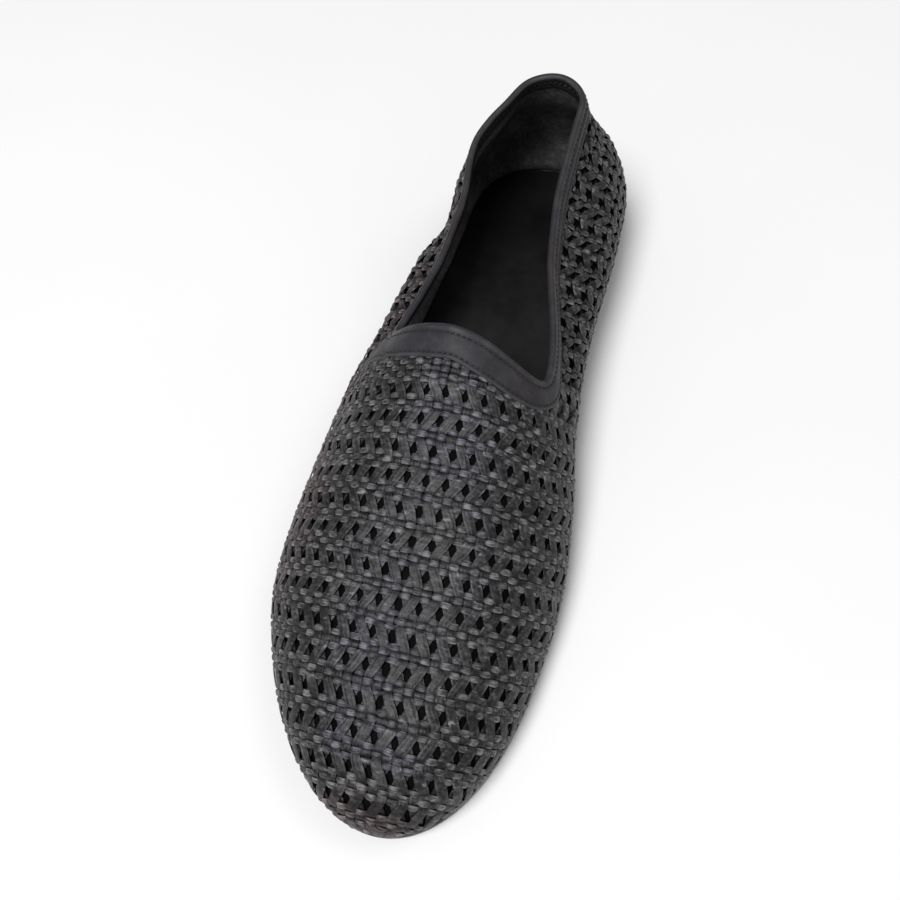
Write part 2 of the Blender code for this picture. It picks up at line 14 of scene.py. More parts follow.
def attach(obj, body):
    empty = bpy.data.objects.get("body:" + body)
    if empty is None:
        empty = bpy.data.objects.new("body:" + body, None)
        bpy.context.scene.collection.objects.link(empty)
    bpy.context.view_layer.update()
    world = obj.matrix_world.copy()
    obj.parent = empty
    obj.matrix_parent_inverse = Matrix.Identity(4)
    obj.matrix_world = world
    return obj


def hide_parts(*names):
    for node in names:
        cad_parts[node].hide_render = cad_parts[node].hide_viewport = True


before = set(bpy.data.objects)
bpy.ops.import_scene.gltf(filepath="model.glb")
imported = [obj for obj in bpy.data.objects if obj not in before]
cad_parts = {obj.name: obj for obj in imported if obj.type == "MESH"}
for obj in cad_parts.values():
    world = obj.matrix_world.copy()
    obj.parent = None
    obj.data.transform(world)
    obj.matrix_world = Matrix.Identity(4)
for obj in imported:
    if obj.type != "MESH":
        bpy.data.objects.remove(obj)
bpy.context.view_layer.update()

METRES = 0.001
# middle of the whole shoe's box on the last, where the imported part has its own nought
CENTRE = np.array([0.74124532, 0.68221096, 0.0])

# the last
LAST_LENGTH = 291.0
HEEL_ROUND = 34.0
HEEL_POWER = 2.3
TOE_START = 196.0
TOE_POWER = 2.25
CROWN_START = 238.0
CROWN_POWER = 2.3
BULGE_HEIGHT = 60.0
BULGE_SCALE = 27.0 / 4.0
TIP_GAP = 0.02
ROW_TIP_GAP = 0.05
SECTION_NAMES = (
    "station", "axis_x", "half_width", "ridge_x", "rise", "base", "lean", "lateral_bulge", "medial_bulge",
)
SECTION_ROWS = (
    (0, 5.7, 33.0, 13.0, 112.0, 14.8, 2.60, 3.5, 3.5),
    (17, 5.7, 33.0, 9.0, 111.5, 14.8, 3.50, 4.0, 4.0),
    (34, 5.7, 33.0, -1.5, 110.0, 14.8, 4.10, 4.0, 4.5),
    (62, 4.5, 33.1, -3.5, 99.8, 14.8, 4.30, 1.6, 6.7),
    (80, 3.3, 33.4, -2.9, 91.2, 14.5, 3.95, 7.6, 7.0),
    (105, 1.5, 34.5, -0.5, 78.0, 12.4, 2.30, 9.2, 7.0),
    (140, -0.3, 40.2, 1.2, 61.0, 7.8, 1.08, 7.8, 6.0),
    (170, 0.0, 46.8, 2.0, 51.0, 5.4, 0.87, 4.5, 4.5),
    (196, 0.6, 50.0, 2.5, 43.5, 4.85, 0.80, 3.2, 3.2),
    (220, 0.8, 50.8, 3.5, 37.5, 4.85, 0.76, 2.4, 2.4),
    (245, 3.5, 49.8, 5.5, 32.0, 6.2, 0.74, 2.0, 2.0),
    (270, 7.0, 48.8, 8.0, 28.0, 9.2, 0.74, 1.5, 1.5),
    (291, 10.3, 47.8, 10.3, 25.0, 12.8, 0.74, 1.0, 1.0),
)

# the opening
LATERAL = -1.0
MEDIAL = 1.0
SIDES = (LATERAL, MEDIAL)
TOPLINE_NAMES = ("station", "height")
TOPLINE_ROWS = ((0, 79.0), (20, 76.0), (60, 62.0), (110, 51.5), (138, 47.0))
NOTCH_STATION = {LATERAL: 128.5, MEDIAL: 140.0}
NOTCH_ROUND = {LATERAL: 5.5, MEDIAL: 8.0}
THROAT_STATION = 134.4
THROAT_POWER = 1.3

# the collar: how far the wall is drawn in at the topline and hollowed under it
COLLAR_NAMES = ("station", "lateral_in", "medial_in", "hollow")
COLLAR_ROWS = (
    (0, 0.0, 0.0, 1.0),
    (12, -1.0, 0.0, 1.6),
    (28, 2.5, -0.8, 2.4),
    (44, -1.8, 1.2, 3.0),
    (60, 0.6, 3.0, 3.4),
    (78, 3.9, 2.6, 3.6),
    (98, 5.9, 1.7, 3.6),
    (120, 4.6, -0.8, 3.0),
    (142, 1.2, -0.8, 1.2),
    (166, 0.0, 0.0, 0.0),
)
COLLAR_FOOT = 0.4
COLLAR_SPAN = 0.45
COLLAR_FADE = 0.45
HOLLOW_FOOT = 0.52
HOLLOW_SPAN = 0.5

# the weave
FRONT_PERIOD = 10.4
BACK_PERIOD = 7.6
FIRST_OPEN_ROW = 22.0
HEEL_REST = 5.6
PITCH = 6.9
FRONT_WEFTS = ((2.95, 1.0), (5.2, -1.0), (7.45, 1.0))
BACK_WEFTS = ((-4.7, -1.0), (-2.9, 1.0))
SHARED_WEFTS = ((-4.9, -1.0), (-3.0, 1.0))
THROAT_WEFTS = ((-11.4, 1.0), (-9.35, -1.0), (-7.3, 1.0), (-5.2, -1.0), (-3.1, 1.0))
THROAT_END = -12.0
THROAT_FAR = -60.0
TIP_WEFTS = (-1.0, 1.05)
TOE_ROW = 6
WEFT_HALF = 1.06
WEFT_NARROW = 0.6
WEFT_SWELL = 0.45
WEFT_UNEVEN = 0.1
WEFT_BASE = 0.06
WEFT_LIFT = 0.5
WEFT_TALL = 0.07
WEFT_FLAT = 1.9
WEFT_WANDER = 0.2
WANDER_SAMPLES = 50.0
WANDER_LEAST = 0.6
BAND_HALF = 1.64
CROSS_HALF = 1.86
SPREAD_REACH = 0.32
WARP_BASE = 0.03
WARP_LIFT = 0.4
SPREAD_LIFT = 0.07
LOWEST_GIRTH = 0.05
WARP_BELOW = -0.5
WEFT_BELOW = -0.4
TIP_CLEAR = 1.5
SHARED_CLEAR = 1.0
QUARTER_OVERLAP = 0.8
BEHIND_ROW = -0.5
KNOBBLE = 0.7
KNOBBLE_SPAN = 16.0
QUARTER_NARROW = 0.2
PRESSED_LEAST = 0.4
PRESSED_START = 1.0
PRESSED_SPAN = 3.5
PRESSED_SINK = 0.15
FOOT_SINK = 0.7
FOOT_SPAN = 2.5

# the strips' wandering: quick waves to a slow one, share of both, then strength and number of waves
SWAY_RATIO = 2.3
SWAY_SLOW = 0.6
SWAY_QUICK = 0.4
SWAY = {
    "girth": (0.22, 8.0), "lift": (0.03, 9.0), "half": (0.12, 9.0), "wear": (0.08, 13.0), "tone": (0.45, 9.0),
}

# wear and painted light of the strips, from nought for dark to one for pale: raised faces, crests and edges
# painted lighter as highlights and glints, low and hidden faces painted darker as shade, over real wear; and
# places of the tints
WARP_WEAR_AND_LIGHT = 0.245
WARP_FACE_WEAR_AND_LIGHT = 0.06
WARP_OPEN_WEAR_AND_LIGHT = {True: 0.06, False: 0.15}
QUARTER_WEAR_AND_LIGHT = 0.44
QUARTER_LIGHT_POWER = 6
GLINTS = 64
GLINT_LEAST = 0.6
GLINT_BEHIND = 0.26
GLINT_WIDTH = 0.09
GLINT_LIGHT = 0.34
WEFT_WEAR_AND_LIGHT = 0.13
CREST_WEAR_AND_SHEEN = 0.58
CREST_UNEVEN = 0.12
CREST_KNOBBLE = 0.2
CREST_RISE = 0.68
CREST_POWER = 1.4
FACE_WEAR_AND_LIGHT = ((0.25, 1.0), (0.1, 1.4), (-0.1, 0.6))
BLUSH_AWAY = 40.0
BLUSH_OUTSIDE = 30.0
BLUSH_TOE = 267.0
BLUSH_SPAN = 24.0

# the strips' paths and profiles
LEAN_REACH = 0.37
WEAVE_DEPTH = -0.35
HIDDEN_EDGE = 3.0
WARP_SAMPLE = 0.7
WEFT_SAMPLE = 0.75
LEVEL_GIRTH = 20.0
LEVEL_FRONT = 150.0
LEVEL_BACK = 100.0
DROOP_REACH = 60.0
MEDIAL_DROOP = 8.9
LATERAL_DROOP = 4.2
DROOP_START = 8.0
DROOP_SPAN = 60.0
WEFT_PROFILE = (
    (1.00, -0.06), (0.86, 0.20), (0.46, 0.39), (0.0, 0.45), (-0.46, 0.39), (-0.86, 0.20), (-1.00, -0.06),
    (0.0, -0.24),
)
WARP_PROFILE = (
    (1.00, -0.02), (0.93, 0.20), (0.52, 0.31), (0.0, 0.35), (-0.52, 0.31), (-0.93, 0.20), (-1.00, -0.02),
    (0.0, -0.22),
)

# the lining
LINING_OUTER = -1.25
LINING_INNER = -1.95
LINING_TAPER = 8.0
LINING_RISE_OUTER = 0.45
LINING_RISE_INNER = 0.6
LINING_UNDER = 0.8
LINING_TIP = 0.5
LINING_LINES = 15
LINING_HEEL_ROWS = 12
LINING_WAIST_ROWS = 26
LINING_VAMP_ROWS = 44
LINING_SHARES = np.linspace(0.0, 1.0, LINING_LINES)
LINING_LAST = 4 * (LINING_LINES - 1)

# the binding
BIND_VAMP = 11.0
BIND_NAMES = ("station", "width")
BIND_ROWS = ((0, 6.6), (60, 7.0), (105, 7.4), (140, 9.5))
BIND_BLEND = 25.0
BIND_GROWTH = 2.0
BIND_START = 0.3
EDGE_SOFT = 12
EDGE_ROUNDS = 2
QUARTER_SAMPLES = 260
VAMP_SAMPLES = 90
EDGE_SAMPLES = 700
NOTCH_ROUNDS = 3
TAB_START = 0.7
TAB_FLARE = 0.9
TAB_REACH = 15.0
TAB_BACK = 7.0
TAB_FORWARD = 2.0
TAB_ROUND = 3.0
TAB_SINK = 0.6
TAB_STATIONS = 44
FOLD_REACH = 1.1
FOLD_MIDDLE = -0.46
FOLD_HALF = 1.3
FOLD_ANGLES = (72, 50, 28, 6, -16, -38, -60, -78)
# angles of the fold's pale line, rubbed and painted as a highlight
FOLD_RUBBED_AND_LIT = (-50, -20)
STITCH_PITCH = 2.1
STITCH_LENGTH = 1.5
STITCH_RADIUS = 0.23
STITCH_SIDES = 6
STITCH_NAMES = ("share", "radius", "rise")
STITCH_ROWS = (
    (0.0, 0.55, -0.26), (0.12, 0.95, -0.03), (0.5, 1.0, 0.07), (0.88, 0.95, -0.03), (1.0, 0.55, -0.26),
)
STITCH_LOWER = -1.65
STITCH_UPPER = 2.0
STITCH_INSIDE = 2.2
STITCH_LOWER_HEIGHT = 0.74
STITCH_UPPER_HEIGHT = 0.80
STITCH_INSIDE_HEIGHT = -1.80
STITCH_TAB_HEIGHT = 1.1

# the sole, heel and insole
SOLE_THICK = 4.5
OVERHANG_NAMES = ("station", "overhang")
OVERHANG_ROWS = ((0, 1.0), (60, 0.4), (110, -1.0), (150, 0.2), (196, 0.6), (240, 0.7), (291, 0.3))
GAP = 0.35
HEEL_FRONT = 64.0
HEEL_HOLLOW = 3.0
HEEL_TAPER = 1.2
HEEL_SPLIT = 4.12
HEEL_DRAW = 0.6
HEEL_ROWS = 22
WAIST_ROWS = 60
TOE_ROWS = 46
HEEL_SIDE_ROWS = 12
HEEL_FRONT_ROWS = 14
PLATE_LINES = 13
INSOLE_THICK = 3.0
INSOLE_TUCK = 1.5
INSOLE_DISH = 0.5

# the camera, at the photograph's place and turned to centre the shoe
VIEW_ELEVATION = 61.66
VIEW_AZIMUTH = 26.56
VIEW_ROLL = -11.75
VIEW_DISTANCE = 346.3
VIEW_TARGET = np.array([-5.73, 0.17, 0.0])
VIEW_LENS = 33.7
SENSOR_WIDTH = 36.0
NEAREST_SEEN = 0.01

# the stage, in metres and watts: each light's name, place, size and power
FLOOR_REACH = 6.0
LIGHT_AIM = (0.0, 0.0, 0.03)
LIGHT_ROWS = (
    ("key", (-0.35, -0.85, 2.3), 1.1, 53.0),
    ("fill", (0.9, 0.5, 1.6), 0.8, 4.0),
)
WORLD_STRENGTH = 0.28

# the usual reach of a noise, and a wider one
NOISE_LOW = 0.3
NOISE_HIGH = 0.7
WIDE_LOW = 0.25
WIDE_HIGH = 0.75

# samples and limits
TURNS = np.linspace(0.0, 1.0, 49)
STATION_SAMPLES = 1200
FRONT_SAMPLES = 900
BACK_SAMPLES = 700
STEP = 0.4
CHUNK = 6000
TINY = 1e-9
SETTLING = 30
SHORTEST_WARP = 8
SHORTEST_WEFT = 5
SHARP_STRIP = 50.0
SHARP_SOLE = 50.0
SHARP_HEEL = 40.0
FACING_DOWN = -0.8
CHANCE = np.random.default_rng(11)


def table(names, rows):
    """Columns of a table by name."""
    return {name: np.array([row[i] for row in rows], float) for i, name in enumerate(names)}


SECTIONS = table(SECTION_NAMES, SECTION_ROWS)
TOPLINE = table(TOPLINE_NAMES, TOPLINE_ROWS)
OVERHANG = table(OVERHANG_NAMES, OVERHANG_ROWS)
COLLAR = table(COLLAR_NAMES, COLLAR_ROWS)
BIND = table(BIND_NAMES, BIND_ROWS)
STITCH = table(STITCH_NAMES, STITCH_ROWS)


def smooth(xs, ys, x):
    """Monotone cubic curve through table rows."""
    x = np.clip(np.asarray(x, float), xs[0], xs[-1])
    width = np.diff(xs)
    slope = np.diff(ys) / width
    tangent = np.zeros_like(ys)
    tangent[0] = slope[0]
    tangent[-1] = slope[-1]
    for i in range(1, len(ys) - 1):
        if slope[i - 1] * slope[i] > 0.0:
            a = 2.0 * width[i] + width[i - 1]
            b = width[i] + 2.0 * width[i - 1]
            tangent[i] = (a + b) / (a / slope[i - 1] + b / slope[i])
    i = np.clip(np.searchsorted(xs, x, side="right") - 1, 0, len(width) - 1)
    t = (x - xs[i]) / width[i]
    start = (2 * t**3 - 3 * t**2 + 1) * ys[i] + (t**3 - 2 * t**2 + t) * width[i] * tangent[i]
    end = (-2 * t**3 + 3 * t**2) * ys[i + 1] + (t**3 - t**2) * width[i] * tangent[i + 1]
    return start + end


def ease(x):
    """Smooth step from nought to one."""
    x = np.clip(x, 0.0, 1.0)
    return x * x * (3.0 - 2.0 * x)


def unit(vectors):
    """The same directions with a length of one."""
    return vectors / np.maximum(np.linalg.norm(vectors, axis=1), TINY)[:, None]


def square_to(vectors, direction):
    """Vectors turned square to a direction, with a length of one."""
    return unit(vectors - direction * np.sum(vectors * direction, axis=1)[:, None])


def section(name, station):
    """A column of the last's sections at a station."""
    return smooth(SECTIONS["station"], SECTIONS[name], station)


def closure(station, start, power):
    """Falls from one to nothing between a start station and the toe's tip."""
    share = np.clip((station - start) / (LAST_LENGTH - start), 0.0, 1.0)
    return np.sqrt(np.maximum(1.0 - share**power, 0.0))


def collar_pull(side, station, height):
    """Distance that the wall is drawn in towards the topline and hollowed under it."""
    rim = smooth(TOPLINE["station"], TOPLINE["height"], station) - section("base", station)
    level = height / rim
    lateral = smooth(COLLAR["station"], COLLAR["lateral_in"], station)
    medial = smooth(COLLAR["station"], COLLAR["medial_in"], station)
    drawn = np.where(side < 0.0, lateral, medial) * ease((level - COLLAR_FOOT) / COLLAR_SPAN)
    drawn = drawn * (1.0 - ease((level - 1.0) / COLLAR_FADE))
    part = np.clip((level - HOLLOW_FOOT) / HOLLOW_SPAN, 0.0, 1.0)
    return drawn + smooth(COLLAR["station"], COLLAR["hollow"], station) * np.sin(math.pi * part) ** 2


def wall_point(side, station, turn):
    """Outer face of the upper. Turn is 0 at the sole's edge and 1 on the ridge."""
    side, station, turn = np.broadcast_arrays(*(np.asarray(v, float) for v in (side, station, turn)))
    body = np.maximum(station, HEEL_ROUND)
    axis_x = section("axis_x", station)
    half = section("half_width", body) * closure(body, TOE_START, TOE_POWER)
    rise = section("rise", body) * closure(body, CROWN_START, CROWN_POWER)
    angle = np.clip(1.0 - station / HEEL_ROUND, 0.0, 1.0) * math.pi / 2.0
    across = half * np.cos(angle) ** (2.0 / HEEL_POWER)
    along = HEEL_ROUND * np.sin(angle) ** (2.0 / HEEL_POWER)
    radius = np.maximum(np.hypot(across, along), TINY)
    quarter = turn * math.pi / 2.0
    height = rise * np.sin(quarter)
    share = np.clip(height / np.maximum(np.minimum(rise, BULGE_HEIGHT), TINY), 0.0, 1.0)
    belly = np.where(side < 0.0, section("lateral_bulge", station), section("medial_bulge", station))
    belly = belly * closure(station, TOE_START, TOE_POWER) * BULGE_SCALE * share * (1.0 - share) ** 2
    kept = np.maximum(np.cos(quarter), 0.0) ** section("lean", station)
    out = (belly - collar_pull(side, station, height)) / radius
    ridge_x = section("ridge_x", station)
    x = axis_x + (ridge_x - axis_x) * (1.0 - kept) + side * across * (kept + out)
    y = LAST_LENGTH / 2.0 - body + along * (kept + out)
    return np.stack([x, y, section("base", station) + height], axis=-1)


def girth_table(side, station):
    """Length up the wall at each sampled turn."""
    points = wall_point(side[:, None], station[:, None], TURNS[None, :])
    steps = np.linalg.norm(np.diff(points, axis=1), axis=2)
    return np.concatenate([np.zeros((len(side), 1)), np.cumsum(steps, axis=1)], axis=1)


def place(side, station, girth):
    """Point on the outer face, going on past the ridge or the heel's back to the other side."""
    side, station, girth = (np.array(v, float) for v in np.broadcast_arrays(side, station, girth))
    side = np.where(station < 0.0, -side, side)
    station = np.abs(station)
    lengths = girth_table(side, station)
    over = girth > lengths[:, -1]
    if over.any():
        other = girth_table(-side[over], station[over])
        girth[over] = other[:, -1] - (girth[over] - lengths[over, -1])
        lengths[over] = other
        side[over] = -side[over]
    low = np.clip((lengths < girth[:, None]).sum(axis=1) - 1, 0, len(TURNS) - 2)
    row = np.arange(len(side))
    part = (girth - lengths[row, low]) / np.maximum(lengths[row, low + 1] - lengths[row, low], TINY)
    turn = TURNS[low] + np.clip(part, 0.0, 1.0) * (TURNS[1] - TURNS[0])
    return wall_point(side, station, turn)


def surface(side, station, girth):
    """Point, outward normal and the two directions of the outer face."""
    side, station, girth = (np.array(v, float) for v in np.broadcast_arrays(side, station, girth))
    ahead = np.minimum(station + STEP, LAST_LENGTH - TIP_GAP)
    behind = np.minimum(station - STEP, ahead - STEP)
    lower = np.maximum(girth - STEP, 0.0)
    along = (place(side, ahead, girth) - place(side, behind, girth)) / (ahead - behind)[:, None]
    upward = (place(side, station, girth + STEP) - place(side, station, lower))
    upward = upward / (girth + STEP - lower)[:, None]
    normal = unit(np.cross(along, upward) * -side[:, None])
    return place(side, station, girth), normal, along, upward


def skin(side, station, girth):
    """Points and outward normals for many places, a part at a time."""
    points = []
    normals = []
    for start in range(0, len(station), CHUNK):
        part = slice(start, start + CHUNK)
        point, normal, _, _ = surface(side[part], station[part], girth[part])
        points.append(point)
        normals.append(normal)
    return np.vstack(points), np.vstack(normals)


def travelled(points):
    """Length from the first point to each point."""
    steps = np.linalg.norm(np.diff(points, axis=0), axis=1)
    return np.concatenate([[0.0], np.cumsum(steps)])


# lengths that are looked up by station
STATIONS = np.linspace(0.0, LAST_LENGTH - TIP_GAP, STATION_SAMPLES)


def at_station(values, station):
    """Looks up a station in a row of values."""
    return np.interp(station, STATIONS, values)


def full_girths(side):
    """Girth of the ridge."""
    return girth_table(np.full(len(STATIONS), side), STATIONS)[:, -1]


def top_girths(side):
    """Girth of the opening's edge behind the notch."""
    body = np.maximum(STATIONS, HEEL_ROUND)
    rise = section("rise", body) * closure(body, CROWN_START, CROWN_POWER)
    height = smooth(TOPLINE["station"], TOPLINE["height"], STATIONS) - section("base", STATIONS)
    turn = np.arcsin(np.clip(height / np.maximum(rise, TINY), 0.0, 1.0)) * 2.0 / math.pi
    lengths = girth_table(np.full(len(STATIONS), side), STATIONS)
    return np.array([np.interp(t, TURNS, row) for t, row in zip(turn, lengths)])


FULL = {side: full_girths(side) for side in SIDES}
TOP = {side: top_girths(side) for side in SIDES}
NOTCH_GIRTH = {side: float(at_station(TOP[side], NOTCH_STATION[side])) for side in SIDES}
NOTCH_FULL = {side: float(at_station(FULL[side], NOTCH_STATION[side])) for side in SIDES}
NOTCH_AWAY = {side: NOTCH_FULL[side] - NOTCH_GIRTH[side] for side in SIDES}


def by_side(tables, side, station):
    """Looks up a station in the table of each place's own side."""
    return own({each: at_station(tables[each], station) for each in SIDES}, side)


def own(values, side):
    """The value that belongs to each place's own side."""
    return np.where(np.asarray(side) < 0.0, values[LATERAL], values[MEDIAL])


def vamp_edge(side, from_ridge):
    """Station of the vamp's edge at a distance from the ridge."""
    share = np.clip(from_ridge / own(NOTCH_AWAY, side), 0.0, 1.0)
    return THROAT_STATION + (own(NOTCH_STATION, side) - THROAT_STATION) * share**THROAT_POWER


def edge_distance(side, station, girth):
    """Rough distance from the opening's edge, below nought in the opening."""
    from_ridge = by_side(FULL, side, station) - girth
    reach = own(NOTCH_AWAY, side)
    notch = own(NOTCH_STATION, side)
    quarter = by_side(TOP, side, station) - girth
    vamp = station - vamp_edge(side, from_ridge)
    corner = np.hypot(station - notch, from_ridge - reach)
    beside = np.where(station <= notch, quarter, corner)
    return np.where(from_ridge < reach, np.where(station <= notch, np.maximum(quarter, vamp), vamp), beside)


def row_scale():
    """Stations with their row lengths: nought at the vamp's first open row, growing to the toe."""
    front = np.linspace(THROAT_STATION, LAST_LENGTH - ROW_TIP_GAP, FRONT_SAMPLES)
    lengths = travelled(wall_point(MEDIAL, front, 1.0))
    first = float(np.interp(FIRST_OPEN_ROW, lengths, front))
    back = np.linspace(0.0, first, BACK_SAMPLES)
    around = travelled(place(MEDIAL, back, LEVEL_GIRTH))
    count = int(round((around[-1] - HEEL_REST) / BACK_PERIOD))
    behind = (around / around[-1] - 1.0) * (count * BACK_PERIOD + HEEL_REST)
    kept = front > first
    ahead = lengths[kept] - FIRST_OPEN_ROW
    return np.concatenate([back, front[kept]]), np.concatenate([behind, ahead]), count


ROW_STATIONS, ROW_LENGTHS, BACK_ROWS = row_scale()
FRONT_ROWS = int(ROW_LENGTHS[-1] / FRONT_PERIOD) + 1


def sheet_girths():
    """Girth that the strips are counted from: the ridge in front, level behind the instep."""
    found = {}
    ends = {}
    share = np.clip((LEVEL_FRONT - STATIONS) / (LEVEL_FRONT - LEVEL_BACK), 0.0, 1.0)
    for side in SIDES:
        start = float(at_station(FULL[side], LEVEL_FRONT))
        slope = start - float(at_station(FULL[side], LEVEL_FRONT - 1.0))
        level = start - slope * (LEVEL_FRONT - LEVEL_BACK) * (share - share**2 / 2.0)
        found[side] = np.where(STATIONS >= LEVEL_FRONT, FULL[side], level)
        ends[side] = float(found[side][0])
    gap = ends[LATERAL] - ends[MEDIAL]
    steps = int(round(gap / PITCH))
    found[LATERAL] = found[LATERAL] + ease(share) * (steps * PITCH - gap) / 2.0
    found[MEDIAL] = found[MEDIAL] - ease(share) * (steps * PITCH - gap) / 2.0
    return found, steps


SHEET, LEVEL_STEPS = sheet_girths()


def lift_keys():
    """Row lengths with the face, 1 outer and -1 inner, that the upper strip of a pair takes there."""
    front = []
    for row in range(FRONT_ROWS):
        front.append((row * FRONT_PERIOD, 1.0))
        front += [(row * FRONT_PERIOD + rise, face) for rise, face in FRONT_WEFTS]
    back = [(-BACK_ROWS * BACK_PERIOD - HEEL_REST, 0.0)]
    for row in range(BACK_ROWS, -1, -1):
        back += [(rise - row * BACK_PERIOD, face) for rise, face in BACK_WEFTS]
        if row > 0:
            back.append((-row * BACK_PERIOD, 1.0))
    throat = [(THROAT_FAR, 1.0)] + list(THROAT_WEFTS)
    return np.array(sorted(back + front)).T, np.array(throat + front).T


QUARTER_KEYS, THROAT_KEYS = lift_keys()


def keyed(keys, length):
    """Eased value between the keys on both sides of each row length."""
    xs, ys = keys
    i = np.clip(np.searchsorted(xs, length, side="right") - 1, 0, len(xs) - 2)
    return ys[i] + (ys[i + 1] - ys[i]) * ease((length - xs[i]) / (xs[i + 1] - xs[i]))


def droop(side, station, away):
    """Distance that the crosswise rows fall back towards the heel, away from the ridge."""
    share = np.minimum(away / DROOP_REACH, 1.0)
    beyond = np.maximum(away / DROOP_REACH - 1.0, 0.0)
    lateral = LATERAL_DROOP * (share**3 + 3.0 * beyond)
    medial = MEDIAL_DROOP * (share**2 + 2.0 * beyond)
    return np.where(np.asarray(side) < 0.0, lateral, medial) * ease((station - DROOP_START) / DROOP_SPAN)


def sway(count, strength, waves):
    """Slow wandering along a strip."""
    along = np.linspace(0.0, 1.0, count)
    first, second = CHANCE.uniform(0.0, 1.0, 2)
    slow = np.sin(2.0 * math.pi * (waves * along + first))
    quick = np.sin(2.0 * math.pi * (SWAY_RATIO * waves * along + second))
    return strength * (SWAY_SLOW * slow + SWAY_QUICK * quick)


def row_number(length):
    """Row numbers: open rows are whole numbers, below nought behind the vamp's first one."""
    return np.where(length > 0.0, length / FRONT_PERIOD, length / BACK_PERIOD)


def crossing(row):
    """Place of the upper strip of a pair, from -1 to 1, as it changes sides in each open row."""
    nearest = np.maximum(np.round(row), -BACK_ROWS)
    part = np.clip((row - nearest) / LEAN_REACH, -1.0, 1.0)
    turned = 1.25 * part - 0.25 * part**5
    return turned * np.where(np.mod(nearest, 2.0) < 0.5, 1.0, -1.0)


def binding_width(side, station, girth):
    """Width of the binding's outer flap, widest on the vamp."""
    share = 1.0 - (by_side(FULL, side, station) - girth) / own(NOTCH_AWAY, side)
    front = ease((station - own(NOTCH_STATION, side)) / BIND_BLEND + 1.0)
    quarter = smooth(BIND["station"], BIND["width"], station)
    return quarter + (BIND_VAMP - quarter) * ease(BIND_GROWTH * share + BIND_START) * front


def settle(side, station, girth, lift):
    """Presses strips flat under the binding and draws them in at the sole's edge."""
    clear = edge_distance(side, station, girth) - binding_width(side, station, girth)
    pressed = PRESSED_LEAST + (1.0 - PRESSED_LEAST) * ease((clear + PRESSED_START) / PRESSED_SPAN)
    return lift * pressed - PRESSED_SINK * (1.0 - pressed) - FOOT_SINK * ease(1.0 - girth / FOOT_SPAN)


def split_runs(kept, shortest):
    """Stretches of neighbouring kept samples."""
    edges = np.flatnonzero(np.diff(np.concatenate([[0], kept.astype(int), [0]])))
    return [(a, b) for a, b in zip(edges[::2], edges[1::2]) if b - a >= shortest]


def warp_half(side, index, upper, lengths):
    """One lengthwise strip on one side, from the toe back, with the samples that are kept."""
    station = np.interp(lengths, ROW_LENGTHS, ROW_STATIONS)
    count = len(lengths)
    level = at_station(SHEET[side], station)
    middle = (index + 0.5) * PITCH
    fallen = lengths + droop(side, station, middle)
    throat = by_side(FULL, side, station) - (level - middle) < NOTCH_AWAY[side]
    closed = throat & (fallen < 0.0)
    row = row_number(fallen)
    lean = np.where(closed & (row < BEHIND_ROW), -1.0, crossing(row))
    face = np.where(throat, keyed(THROAT_KEYS, fallen), keyed(QUARTER_KEYS, fallen))
    sign = 1.0 if upper else -1.0
    girth = level - (middle + side * sign * lean * PITCH / 4.0) + sway(count, *SWAY["girth"])
    spread = 1.0 - ease(np.abs(row - np.round(row)) / SPREAD_REACH)
    spread = np.where(closed & (row < BEHIND_ROW), 0.0, spread)
    knobbly = ease(-fallen / KNOBBLE_SPAN)
    strong = 1.0 + KNOBBLE * knobbly
    lift = WARP_BASE + WARP_LIFT * strong * sign * face + SPREAD_LIFT * sign * spread
    lift = lift + sway(count, *SWAY["lift"])
    half = BAND_HALF + (CROSS_HALF - BAND_HALF) * spread + sway(count, *SWAY["half"])
    half = half - QUARTER_NARROW * knobbly
    kept = (girth > WARP_BELOW) & (edge_distance(side, station, girth) > HIDDEN_EDGE)
    girth = np.maximum(girth, LOWEST_GIRTH)
    lift = settle(side, station, girth, lift)
    # painted highlights: glints of light painted just heel-ward of the crossings in a random share of the
    # open rows
    nearest = np.round(row).astype(int)
    glint = CHANCE.uniform(0.0, 1.0, GLINTS)[nearest % GLINTS]
    near = np.exp(-((row - nearest + GLINT_BEHIND) / GLINT_WIDTH) ** 2)
    glint = np.where(glint > GLINT_LEAST, glint, 0.0) * near
    # painted light: lighter where the strip lies on the outer face and at the crossings, darker as painted
    # shade where it sinks to the inner face, with the glints added; on the quarters only the highest lumps
    # are painted light
    vamp_worn_and_lit = WARP_WEAR_AND_LIGHT + WARP_FACE_WEAR_AND_LIGHT * sign * face + WARP_OPEN_WEAR_AND_LIGHT[upper] * spread + GLINT_LIGHT * glint
    quarter_worn_and_lit = QUARTER_WEAR_AND_LIGHT * np.clip(sign * face, 0.0, 1.0) ** QUARTER_LIGHT_POWER
    worn_and_lit = vamp_worn_and_lit + (quarter_worn_and_lit - vamp_worn_and_lit) * knobbly + sway(count, *SWAY["wear"])
    tone = 0.5 + sway(count, *SWAY["tone"])
    return np.full(count, side), station, girth, lift, half, worn_and_lit, tone, kept


def warp_paths(upper):
    """Lengthwise strips. On the quarters a strip goes round the heel to the other side."""
    first = float(ROW_LENGTHS[0])
    lengths = np.arange(float(ROW_LENGTHS[-1]), first, -WARP_SAMPLE)
    lengths = np.concatenate([lengths[lengths > first + 0.4 * WARP_SAMPLE], [first]])
    paths = []
    reach = int(max(FULL[LATERAL].max(), FULL[MEDIAL].max()) / PITCH) + 1
    for index in range(-abs(LEVEL_STEPS), reach):
        parts = []
        for side, number, on_top in ((LATERAL, index + LEVEL_STEPS, upper), (MEDIAL, index, not upper)):
            if number < 0:
                continue
            part = warp_half(side, number, on_top, lengths)
            parts.append(part if side == LATERAL else [values[::-1] for values in part])
        if len(parts) == 2:
            parts[1] = [values[1:] for values in parts[1]]
        joined = [np.concatenate(values) for values in zip(*parts)]
        for a, b in split_runs(joined[-1], SHORTEST_WARP):
            paths.append([values[a:b] for values in joined[:-1]])
    return paths


